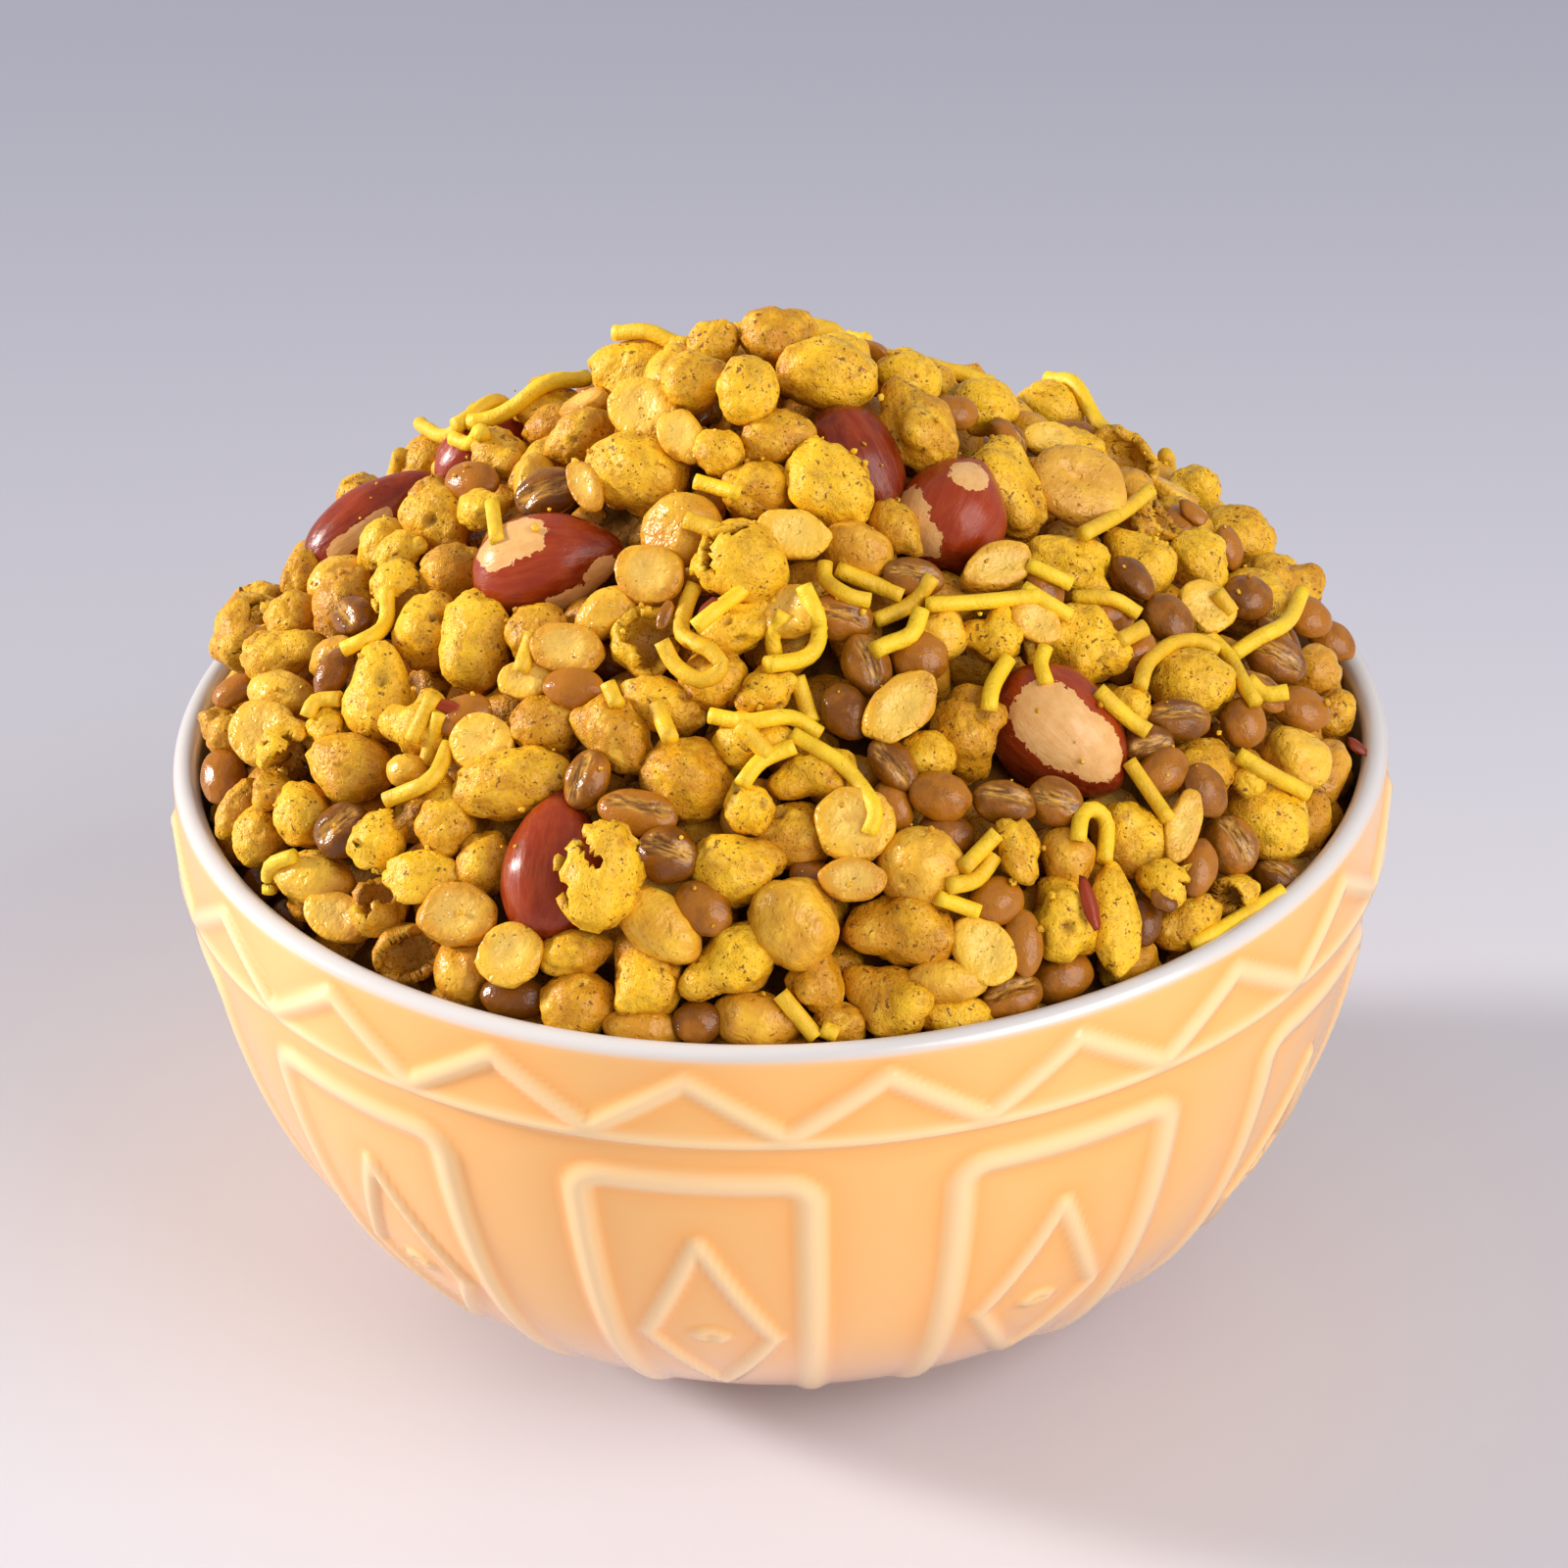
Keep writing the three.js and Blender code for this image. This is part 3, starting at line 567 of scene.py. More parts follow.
def streaks_group():
    """Fine lines that run along a piece, as in a seed coat."""
    def fill(tree, entry, result):
        squeezed = add(tree, "ShaderNodeMapping", {
            "Vector": entry["Vector"], "Scale": (0.16, 1.0, 1.0)}).outputs[0]
        lines = noisy(tree, squeezed, entry["Scale"], detail=4.0, rough=0.6)
        tree.links.new(ramp(tree, lines, 0.35, 0.7), result["Mask"])
    return group("seed_coat_streaks", [
        ("Vector", "NodeSocketVector", None),
        ("Scale", "NodeSocketFloat", 1.0),
    ], [("Mask", "NodeSocketFloat")], fill)


# ---------------------------------------------------------------- materials

def new_material(name):
    made = bpy.data.materials.new(name)
    made.use_nodes = True
    return made, made.node_tree, made.node_tree.nodes["Principled BSDF"]


def connect(tree, shader, sockets):
    for name, value in sockets.items():
        if isinstance(value, bpy.types.NodeSocket):
            tree.links.new(value, shader.inputs[name])
        else:
            shader.inputs[name].default_value = value


def bump(tree, height, strength, distance):
    return add(tree, "ShaderNodeBump", {
        "Height": height, "Strength": strength, "Distance": distance * MM}).outputs[0]


def washed(tree, mask, strength, under, over):
    """A colour laid over another where a mask says so, at part strength."""
    return mixed(tree, maths(tree, "MULTIPLY", mask, strength), under, over)


def varied(tree, place, scale, low, high):
    """A roughness that drifts between two values."""
    return ramp(tree, noisy(tree, place, scale), 0.3, 0.7, low, high)


def specks(tree, place, scale, amount):
    return use(tree, specks_group(), {"Vector": place, "Scale": scale, "Amount": amount})["Mask"]


def crinkle(tree, place, scale, pores):
    return use(tree, crinkle_group(), {"Vector": place, "Scale": scale, "Pores": pores})["Height"]


def streaks(tree, place, scale):
    return use(tree, streaks_group(), {"Vector": place, "Scale": scale})["Mask"]


def mix_material(name, light, darker, scale):
    """A material of the mix, with its grain and its mottled body colour."""
    made, tree, shader = new_material(name)
    grain = attribute(tree, "grain")["Vector"]
    # The dark tone is both the colour of browner pieces and painted shade, which the tint brings in
    # deep below the heap's surface.
    dark = [part * share for part, share in zip(light, darker)]
    body = use(tree, mottle_group(), {
        "Vector": grain, "Scale": scale, "Tint": attribute(tree, "tone_and_depth_shade")["Fac"],
        "Light": opaque(light), "Dark": opaque(dark)})["Color"]
    return made, tree, shader, grain, body


def glaze_material(sizes):
    made, tree, shader = new_material("orange_glaze")
    ridge, pool, white, foot = (attribute(tree, name)["Fac"] for name in WALL_LAYERS)
    place = add(tree, "ShaderNodeTexCoord").outputs["Object"]
    cloud = noisy(tree, place, 45.0, detail=2.0)
    gathered = maths(tree, "MULTIPLY", pool, maths(tree, "MULTIPLY_ADD", cloud, 0.8, 0.45))
    flat = mixed(tree, gathered, opaque(sizes.glaze), opaque(sizes.deep_glaze))
    pale = mixed(tree, foot, flat, FOOT_GLAZE)
    glazed = washed(tree, ridge, 0.8, pale, opaque(sizes.thin_glaze))
    connect(tree, shader, {
        "Base Color": mixed(tree, white, glazed, opaque(sizes.body_white)),
        "Roughness": ramp(tree, cloud, 0.2, 0.8, 0.16, 0.26),
        "Coat Weight": 0.55,
        "Coat Roughness": 0.12,
        "Normal": bump(tree, noisy(tree, place, 120.0, detail=1.0), 0.12, 0.3),
    })
    return made


def puff_material(heap):
    made, tree, shader, grain, body = mix_material(
        "fried_gram_flour", heap.puff_colour, (0.66, 0.50, 0.4), 0.3)
    dust = ramp(tree, noisy(tree, grain, 0.5, detail=3.0, rough=0.6), 0.52, 0.72)
    dusted = washed(tree, dust, 0.6, body, PUFF_DUST)
    toast = ramp(tree, noisy(tree, grain, 0.33, detail=5.0, rough=0.72), 0.53, 0.70)
    toasted = washed(tree, toast, 0.6, dusted, PUFF_TOAST)
    peppered = washed(tree, specks(tree, grain, 1.6, 0.165), 0.85, toasted, PUFF_SPICE)
    # painted shade: creases, pits and the inner side of burst shells are darkened where hollow is
    # high
    hollow = attribute(tree, "hollow")["Fac"]
    connect(tree, shader, {
        "Base Color": washed(tree, hollow, 0.7, peppered, PUFF_CREASE_SHADE),
        "Roughness": varied(tree, grain, 1.4, 0.30, 0.54),
        "Specular IOR Level": 0.36,
        "Normal": bump(tree, crinkle(tree, grain, 1.05, 0.8), 0.6, 0.65),
    })
    return made


def gram_material(heap):
    made, tree, shader, grain, body = mix_material(
        "split_gram", heap.gram_colour, (0.72, 0.55, 0.4), 0.3)
    pale = washed(tree, attribute(tree, "hollow")["Fac"], 0.6, body, GRAM_INSIDE)
    toast = ramp(tree, noisy(tree, grain, 0.35, detail=3.0, rough=0.6), 0.55, 0.75)
    toasted = washed(tree, toast, 0.45, pale, GRAM_TOAST)
    connect(tree, shader, {
        "Base Color": washed(tree, specks(tree, grain, 1.7, 0.11), 0.75, toasted, GRAM_SPICE),
        "Roughness": varied(tree, grain, 0.5, 0.24, 0.42),
        "Specular IOR Level": 0.4,
        "Normal": bump(tree, crinkle(tree, grain, 0.4, 0.25), 0.6, 1.1),
    })
    return made


def lentil_material(heap):
    made, tree, shader, grain, body = mix_material(
        "brown_lentil", heap.lentil_colour, (0.42, 0.36, 0.3), 0.35)
    opened = mixed(tree, streaks(tree, grain, 2.4), LENTIL_GAP, LENTIL_SEED)
    connect(tree, shader, {
        "Base Color": mixed(tree, attribute(tree, "hollow")["Fac"], body, opened),
        "Roughness": varied(tree, grain, 0.5, 0.16, 0.28),
        "Specular IOR Level": 0.36,
        "Normal": bump(tree, crinkle(tree, grain, 0.8, 0.1), 0.4, 0.5),
    })
    return made


def peanut_material(heap):
    """Red skin with fine lines, rubbed off with a ragged edge down to the pale kernel."""
    made, tree, shader, grain, body = mix_material(
        "peanut_skin", heap.skin_colour, (0.55, 0.5, 0.6), 0.2)
    lines = streaks(tree, grain, 1.2)
    skin = washed(tree, lines, 0.3, body, SKIN_LINE)
    ragged = noisy(tree, grain, 0.7, detail=4.0, rough=0.62)
    edge = maths(tree, "MULTIPLY_ADD", ragged, 1.9, attribute(tree, "hollow")["Fac"])
    bare = ramp(tree, edge, 1.42, 1.47)
    kernel = mixed(tree, ramp(tree, ragged, 0.35, 0.65), KERNEL, KERNEL_TOAST)
    relief = maths(tree, "MULTIPLY_ADD", lines, 0.5, maths(tree, "MULTIPLY", bare, -0.6))
    connect(tree, shader, {
        "Base Color": mixed(tree, bare, skin, kernel),
        "Roughness": ramp(tree, ragged, 0.3, 0.7, 0.24, 0.38),
        "Specular IOR Level": 0.3,
        "Coat Weight": 0.10,
        "Coat Roughness": 0.10,
        "Normal": bump(tree, relief, 0.35, 0.25),
    })
    return made


def noodle_material(heap):
    made, tree, shader, grain, body = mix_material(
        "gram_flour_noodle", heap.noodle_colour, (0.82, 0.72, 0.8), 0.3)
    connect(tree, shader, {
        "Base Color": washed(tree, specks(tree, grain, 2.2, 0.10), 0.6, body, NOODLE_SPICE),
        "Roughness": 0.5,
        "Normal": bump(tree, crinkle(tree, grain, 1.2, 0.15), 0.5, 0.5),
    })
    return made


def core_material():
    made, tree, shader = new_material("heap_core_painted_shade")
    place = add(tree, "ShaderNodeTexCoord").outputs["Object"]
    # painted shade: the core is near black so that the gaps between the pieces look shadowed
    body = use(tree, mottle_group(), {
        "Vector": place, "Scale": 160.0, "Tint": 0.4,
        "Light": CORE_SHADE_PALE, "Dark": CORE_SHADE_DEEP})["Color"]
    connect(tree, shader, {
        "Base Color": body,
        "Roughness": 0.9,
        "Specular IOR Level": 0.05,
        "Normal": bump(tree, crinkle(tree, place, 500.0, 0.4), 0.6, 1.0),
    })
    return made


def floor_material(stage):
    made, tree, shader = new_material("studio_floor")
    place = add(tree, "ShaderNodeTexCoord").outputs["Object"]
    depth = add(tree, "ShaderNodeSeparateXYZ", {0: place}).outputs["Y"]
    # painted shade: the floor turns darker and a little bluer further back, as the light falls off
    share = ramp(tree, depth, -0.12, 0.42)
    connect(tree, shader, {
        "Base Color": mixed(tree, share, opaque(stage.floor_colour), opaque(stage.far_floor_shade)),
        "Roughness": 0.55,
        "Normal": bump(tree, noisy(tree, place, 900.0), 0.03, 0.1),
    })
    return made


# ---------------------------------------------------------------- the bowl

def belly_radius(height):
    share = max(0.0, RIM_HEIGHT - height) / BELLY_DEPTH
    return RIM_RADIUS * (1 - share ** BELLY_RISE) ** (1 / BELLY_SWELL)


def wall_radius(height):
    """Outside of the wall: the belly, and above the ledge the band."""
    if height < LEDGE_HEIGHT - LEDGE_SOFTNESS:
        return belly_radius(height)
    band = smooth(LEDGE_HEIGHT - LEDGE_SOFTNESS, LEDGE_HEIGHT + 0.3, height)
    below = belly_radius(min(height, LEDGE_HEIGHT))
    return below + (RIM_RADIUS - below) * band


def wall_lean(height):
    """How fast the wall widens with height."""
    step = 0.2
    low, high = max(BODY_START, height - step), height + step
    return (wall_radius(high) - wall_radius(low)) / (high - low)


class WallRun:
    """Length along the wall's profile from the start of the belly up to a height."""

    def __init__(self, step=0.1):
        self.heights = np.arange(BODY_START, LIP_HEIGHT, step)
        radii = np.array([belly_radius(height) for height in self.heights])
        pieces = np.hypot(np.diff(radii), step)
        self.runs = np.concatenate([[0.0], np.cumsum(pieces)])

    def at(self, height):
        return float(np.interp(height, self.heights, self.runs))


def line_distance(point, start, end):
    """Distance in the plane from a point to a straight stretch."""
    along = end - start
    share = max(0.0, min(1.0, (point - start).dot(along) / along.length_squared))
    return (point - start - along * share).length


def swell(distance, width):
    """A soft ridge's height at a distance from its middle line."""
    return 1 - smooth(width * 0.10, width * 0.90, abs(distance))


def beside(distance, width):
    """Where glaze gathers: just outside a ridge, fading away from it."""
    gap = abs(distance) - width * 0.75
    return smooth(-0.6, 0.2, gap) * math.exp(-max(0.0, gap) / 1.7)


def pattern(turn, height, run, panels):
    """Relief, ridge colour and gathered glaze at a place on the wall."""
    radius = wall_radius(height)
    reach = math.radians(1) * radius
    pitch = 360 / panels
    off = abs((turn - FIRST_PANEL + pitch / 2) % pitch - pitch / 2)
    along = run.at(height)
    lines = []
    if height < LEDGE_HEIGHT - 1.5:
        half, top = FRAME_HALF * reach, run.at(FRAME_TOP)
        across = off * reach - (half - FRAME_CORNER)
        above = along - (top - FRAME_CORNER)
        corner = math.hypot(max(across, 0.0), max(above, 0.0))
        lines.append((corner + min(max(across, above), 0.0) - FRAME_CORNER, FRAME_WIDTH))
        place = Vector((off * reach, along))
        side = Vector((DIAMOND_HALF * math.radians(1) * wall_radius(DIAMOND_WAIST),
                       run.at(DIAMOND_WAIST)))
        for end in (DIAMOND_TOP, DIAMOND_FOOT):
            tip = Vector((0.0, run.at(end)))
            lines.append((line_distance(place, side, tip), DIAMOND_WIDTH))
    elif height > LEDGE_HEIGHT + 0.8:
        half = pitch / 4
        step = abs((turn - FIRST_PANEL + half) % (2 * half) - half)
        peak, valley = Vector((0.0, ZIGZAG_TOP)), Vector((half * reach, ZIGZAG_FOOT))
        place = Vector((step * reach, height))
        lines.append((line_distance(place, peak, valley), ZIGZAG_WIDTH))
    ridge = max((swell(*line) for line in lines), default=0.0)
    pool = max((beside(*line) for line in lines), default=0.0)
    rounds = math.hypot(off * reach / (STUD_LENGTH / 2),
                        (along - run.at(DIAMOND_WAIST)) / (STUD_HEIGHT / 2))
    stud = 0.0
    if rounds < 2 and height < LEDGE_HEIGHT:
        stud = 0.85 * (1 - smooth(0.7, 1.2, rounds)) - 0.7 * (1 - smooth(0.1, 0.6, rounds))
        pool = max(pool, 0.6 * smooth(0.9, 1.1, rounds) * (1 - smooth(1.3, 2.0, rounds)))
    bead = swell(height - LEDGE_HEIGHT - 0.5, 1.5)
    under = smooth(LEDGE_HEIGHT - 5.0, LEDGE_HEIGHT - 0.9, height)
    if height > LEDGE_HEIGHT - LEDGE_SOFTNESS:
        under = 0.0
    foot_fade = smooth(3.5, 10.0, height)
    relief = max(ridge, stud, 0.35 * bead) * foot_fade
    return relief, max(ridge, stud, bead) * foot_fade, max(pool, 0.6 * under)


def inner_wall(share, inset):
    """A place inside the wall, an inset away from its outside, at a share of its height."""
    outer = BODY_START + (RIM_HEIGHT - BODY_START) * share
    lean = wall_lean(outer)
    length = math.hypot(1, lean)
    return belly_radius(outer) - inset / length, outer + inset * lean / length


def wall_profile(step):
    """Points of the whole wall from the middle of the underside round to the inside floor."""
    points = [
        (0.0, FOOT_RECESS), (FOOT_INNER - 1.4, FOOT_RECESS), (FOOT_INNER - 0.5, FOOT_RECESS * 0.7),
        (FOOT_INNER, 0.35), (FOOT_INNER + 0.5, 0.0), (FOOT_RADIUS - 0.5, 0.0),
        (FOOT_RADIUS, 0.35), (FOOT_RADIUS + 0.9, 1.6),
    ]
    height = BODY_START
    while height < RIM_HEIGHT - 0.8:
        points.append((wall_radius(height), height))
        height += step / math.hypot(1, wall_lean(height))
    middle, half = RIM_RADIUS - WALL / 2, WALL / 2
    lip_start = RIM_HEIGHT - 0.7
    for i in range(11):
        angle = math.pi * i / 10
        points.append((middle + half * math.cos(angle),
                       lip_start + (LIP_HEIGHT - lip_start) * math.sin(angle)))
    points += [inner_wall(share, WALL) for share in np.linspace(0.97, 0.06, 18)]
    points += [(FLOOR_RADIUS, FLOOR_TOP + 0.1), (0.0, FLOOR_TOP)]
    return points


def spun(profile, start, angle, steps, full=False):
    """A profile of radii and heights, spun about the upright axis."""
    bm = bmesh.new()
    points = [bm.verts.new((radius * math.sin(start), -radius * math.cos(start), height))
              for radius, height in profile]
    for first, second in zip(points, points[1:]):
        bm.edges.new((first, second))
    bmesh.ops.spin(bm, geom=bm.verts[:] + bm.edges[:], axis=(0, 0, 1), cent=(0, 0, 0),
                   angle=angle, steps=steps, use_merge=full)
    return bm


def bowl_sector(sizes):
    """One panel's share of the bowl, spun from the wall's profile, its pattern raised."""
    pitch = 360 / sizes.panels
    bm = spun(wall_profile(sizes.step / MM), math.radians(FIRST_PANEL - pitch / 2),
              math.radians(pitch), round(sizes.columns / sizes.panels))
    ridge, pool, white, foot = (bm.verts.layers.float.new(name) for name in WALL_LAYERS)
    run = WallRun()
    for vert in bm.verts:
        x, y, height = vert.co
        radius = math.hypot(x, y)
        outside = radius > wall_radius(max(height, BODY_START)) - 1
        vert[foot] = 1 - smooth(6, 26, height)
        vert[white] = smooth(RIM_HEIGHT - 0.9, RIM_HEIGHT + 0.1, height)
        if not outside and height > BODY_START:
            vert[white] = 1.0
        if outside and BODY_START <= height < RIM_HEIGHT - 0.5:
            turn = math.degrees(math.atan2(x, -y))
            relief, vert[ridge], vert[pool] = pattern(turn, height, run, sizes.panels)
            out = Vector((x / radius, y / radius, -wall_lean(height))).normalized()
            vert.co += out * relief * sizes.relief / MM
    return mesh_of(bm, "bowl_sector")


def bowl_mesh(sizes):
    sector = bowl_sector(sizes)
    bm = bmesh.new()
    for _ in range(sizes.panels):
        bm.from_mesh(sector)
        sector.transform(Matrix.Rotation(math.tau / sizes.panels, 4, "Z"))
    bpy.data.meshes.remove(sector)
    bmesh.ops.remove_doubles(bm, verts=bm.verts, dist=1e-3)
    bmesh.ops.recalc_face_normals(bm, faces=bm.faces)
    return mesh_of(bm, "glazed_bowl")


# ---------------------------------------------------------------- shapes of the mix

def drawn_way(rng):
    """A direction, any one as likely as another."""
    up = rng.uniform(-1, 1)
    turn = rng.uniform(0, math.tau)
    flat = math.sqrt(1 - up * up)
    return Vector((flat * math.cos(turn), flat * math.sin(turn), up))


def drawn_drift(rng):
    """A shift into a stretch of noise that no other piece uses."""
    return Vector((rng.uniform(0, 90), rng.uniform(0, 90), rng.uniform(0, 90)))


def drawn_flats(rng, least, most, count):
    """Sides that other pieces have pressed flat: directions and their distances."""
    return [(drawn_way(rng), rng.uniform(least, most)) for _ in range(count)]


def blank():
    """An empty mesh with the layers that every piece of the mix carries."""
    bm = bmesh.new()
    for name in ("tone_and_depth_shade", "hollow"):
        bm.verts.layers.float.new(name)
    bm.verts.layers.float_vector.new("grain")
    return bm


def ball(detail):
    bm = blank()
    bmesh.ops.create_icosphere(bm, subdivisions=detail, radius=1.0)
    return bm


def fit_to(bm, size):
    """Scales a shape about its middle to a length, width and thickness."""
    places = np.array([vert.co for vert in bm.verts])
    low, high = places.min(0), places.max(0)
    middle = Vector((low + high) / 2)
    scale = [size[i] / (high[i] - low[i]) for i in range(3)]
    for vert in bm.verts:
        offset = vert.co - middle
        vert.co = (offset.x * scale[0], offset.y * scale[1], offset.z * scale[2])
    return bm


def lobe_reach(way, lobes):
    """How far the skin of some joined balls lies in a direction, with soft joins."""
    total = 0.0
    for centre, radius in lobes:
        along = way.dot(centre)
        inside = along * along - centre.length_squared + radius * radius
        if inside > 0 and along + math.sqrt(inside) > 0:
            total += (along + math.sqrt(inside)) ** LOBE_JOIN
    return total ** (1 / LOBE_JOIN)


def pressed(way, reach, flats):
    """The reach in a direction, cut short with soft edges by the flat sides."""
    total = reach ** -FLAT_EDGE
    for side, depth in flats:
        lean = way.dot(side)
        if lean > 0.3:
            total += (depth / lean) ** -FLAT_EDGE
    return total ** (-1 / FLAT_EDGE)


def waves(way, drift, rows):
    """Lumps of a skin: each row is how finely they lie and their height."""
    return sum(height * noise.noise(way * fine + drift) for fine, height in rows)


def dented(way, spots, depth):
    """How deep some round dents are in a direction, and how near the middle of one it is."""
    total, middle = 0.0, 0.0
    for spot, width in spots:
        away = (way - spot).length / width
        if away < 1:
            total += depth * (1 - away * away) ** 2
            middle = max(middle, (1 - away) ** 0.5)
    return total, middle


def puff_shape(rng, size, detail, bumps=(0, 1, 1, 2), pits=(0, 1, 2), tip=0.0, spread=0.9):
    """A drop of fried batter: a ball with smaller drops grown on it, pits and lumps."""
    bm = ball(detail)
    hollow = bm.verts.layers.float["hollow"]
    lobes = [(Vector(), 1.0)]
    for _ in range(rng.choice(bumps)):
        lobes.append((drawn_way(rng) * rng.uniform(0.6, 1.0) * spread, rng.uniform(0.4, 0.7)))
    dents = [(drawn_way(rng), rng.uniform(0.25, 0.5)) for _ in range(2)]
    holes = [(drawn_way(rng), rng.uniform(0.14, 0.30)) for _ in range(rng.choice(pits))]
    flats = drawn_flats(rng, 0.85, 1.0, 1)
    drift = drawn_drift(rng)
    for vert in bm.verts:
        way = vert.co.normalized()
        fold = abs(noise.noise(way * 1.7 + drift))
        reach = pressed(way, lobe_reach(way, lobes), flats) + tip * max(0.0, way.x) ** 9
        reach *= (1 + 0.17 * fold + 0.10 * noise.noise(way * 1.3 - drift)
                  + waves(way, drift, PUFF_WAVES))
        hole, middle = dented(way, holes, 0.32)
        # hollow marks the creases and the middles of the pits, which the material darkens as painted
        # shade
        vert[hollow] = max(0.35 * (1 - smooth(0.0, 0.08, fold)), middle)
        vert.co = way * (reach - dented(way, dents, 0.10)[0] - hole)
    return fit_to(bm, size)


def knob_shape(rng, size, detail):
    """A knobbly puff: several drops grown together."""
    return puff_shape(rng, size, detail, bumps=(4, 5, 6), pits=(1, 2, 3), spread=1.05)


def drop_shape(rng, size, detail):
    """A puff drawn out to a tip."""
    return puff_shape(rng, size, detail, bumps=(0, 1), tip=0.6)


def shell_shape(rng, size, detail, side=1.0, least=0.35, most=0.8, ragged=0.25):
    """A burst drop: a thin shell with a ragged mouth."""
    bm = puff_shape(rng, size, detail, bumps=(1,), pits=(0,))
    mouth = (Vector((0, 0, side)) + drawn_way(rng) * 0.7).normalized()
    drift = drawn_drift(rng)
    opening = rng.uniform(least, most)
    half = min(size) / 2
    gone = []
    for face in bm.faces:
        middle = face.calc_center_median()
        torn = ragged * noise.noise(middle * 0.42 + drift) * 2
        if middle.dot(mouth) / half + torn > opening:
            gone.append(face)
    bmesh.ops.delete(bm, geom=gone, context="FACES")
    outer = set(bm.verts)
    hollow = bm.verts.layers.float["hollow"]
    bmesh.ops.solidify(bm, geom=bm.faces[:], thickness=SHELL_WALL)
    for vert in bm.verts:
        if vert not in outer:
            # painted shade: the inner side of the shell is darkened through hollow
            vert[hollow] = 0.5
    return bm


def flake_shape(rng, size, detail):
    """A piece of such a shell, its outside up, with a torn edge."""
    tall = (size[0], size[1], size[2] * 1.7)
    return shell_shape(rng, tall, detail, side=-1.0, least=-0.25, most=0.0, ragged=0.62)


def gram_shape(rng, size, detail):
    """Half a pea: round on top, flat below with a shallow dent."""
    bm = ball(detail)
    hollow = bm.verts.layers.float["hollow"]
    drift = drawn_drift(rng)
    flats = drawn_flats(rng, 0.80, 0.93, 4)
    flat = -0.30
    for vert in bm.verts:
        way = vert.co.normalized()
        place = way * pressed(way, 1.0, flats) * (1 + waves(way, drift, GRAM_WAVES))
        if place.z < flat:
            off = math.hypot(place.x, place.y)
            vert[hollow] = 1 - smooth(0.35, 0.85, off)
            place.z = flat + (place.z - flat) * 0.16 + 0.16 * (1 - smooth(0.1, 0.7, off))
        vert.co = place
    if rng.random() < 0.45:
        bmesh.ops.rotate(bm, verts=bm.verts, matrix=Matrix.Rotation(math.pi, 3, "X"))
    return fit_to(bm, size)


def half_shape(rng, size, detail):
    """Half a blanched kernel, its flat side up with a small dent."""
    bm = ball(detail)
    hollow = bm.verts.layers.float["hollow"]
    drift = drawn_drift(rng)
    flat = 0.42
    for vert in bm.verts:
        way = vert.co.normalized()
        place = way * (1 + waves(way, drift, [(1.5, 0.06)]))
        place.z = min(place.z, flat + 0.38 * (place.z - flat))
        if way.z > 0:
            off = math.hypot(place.x + 0.15, place.y * 1.8)
            place.z -= 0.34 * (1 - smooth(0.05, 0.55, off))
        vert[hollow] = 0.3
        vert.co = place
    return fit_to(bm, size)


def lentil_shape(rng, size, detail, burst=False):
    """A lens with a blunt rim, which may have burst along its length."""
    bm = ball(detail)
    hollow = bm.verts.layers.float["hollow"]
    drift = drawn_drift(rng)
    lean = rng.uniform(-0.25, 0.25)
    for vert in bm.verts:
        way = vert.co.normalized()
        off = min(1.0, way.x * way.x + way.y * way.y)
        place = way * (1 + waves(way, drift, [(1.8, 0.06)]))
        place.z *= (1 - off) ** 0.14 if off < 1 else 0.0
        if burst and place.z > 0:
            bend = 0.12 * noise.noise(Vector((place.x * 3, 0, 0)) + drift)
            away = abs(place.y - lean - bend)
            gap = (1 - smooth(0.08, 0.42, away)) * (1 - smooth(0.5, 0.95, abs(place.x)))
            place.z -= 0.28 * gap
            vert[hollow] = min(1.0, gap * 1.6)
        vert.co = place
    return fit_to(bm, size)


def burst_shape(rng, size, detail):
    return lentil_shape(rng, size, detail, burst=True)


def scrap_shape(rng, size, detail):
    """A thin curled scrap of husk or skin."""
    bm = ball(detail - 2)
    drift = drawn_drift(rng)
    for vert in bm.verts:
        way = vert.co.normalized()
        place = way * (1 + waves(way, drift, [(1.8, 0.35)]))
        place.z = place.z * 0.4 - 0.5 * place.y * place.y
        vert.co = place
    return fit_to(bm, size)


def peanut_shape(rng, size, detail, bare=()):
    """A kernel with a blunt end and a beak, its skin rubbed off in places."""
    bm = ball(detail)
    hollow = bm.verts.layers.float["hollow"]
    drift = drawn_drift(rng)
    for vert in bm.verts:
        way = vert.co.normalized()
        taper = 1 - 0.10 * (way.x + 0.2)
        lengthwise = Vector((way.x * 0.8, way.y * 4.0, way.z * 4.0))
        place = way * (1 + 0.05 * noise.noise(way * 1.5 + drift)
                       + 0.012 * noise.noise(lengthwise + drift))
        vert.co = (place.x + 0.10 * max(0.0, way.x) ** 10, place.y * taper, place.z * taper)
        for spot, width in bare:
            gone = 1 - smooth(width * 0.55, width, (way - spot).length)
            vert[hollow] = max(vert[hollow], gone)
    return fit_to(bm, size)


# ---------------------------------------------------------------- where the pieces lie

def heap_height(radius, heap):
    cone = heap.crown / MM - heap.slope * (math.hypot(radius, HEAP_BLUNT) - HEAP_BLUNT)
    return RIM_HEIGHT + cone - EDGE_DROP * (min(radius, 72.0) / HEAP_EDGE) ** EDGE_SHARPNESS


def heap_up(x, y, heap):
    radius = math.hypot(x, y)
    fall = heap.slope * radius / math.hypot(radius, HEAP_BLUNT)
    return Vector((x * fall, y * fall, radius or 1.0)).normalized()


def heap_frame(x, y, turn, heap):
    """Axes of a piece that lies on the heap: along, side and up."""
    up = heap_up(x, y, heap)
    angle = math.radians(turn)
    across = Vector((-math.sin(angle), math.cos(angle), 0.0))
    along = across.cross(up).normalized()
    return Matrix((along, up.cross(along), up)).transposed()


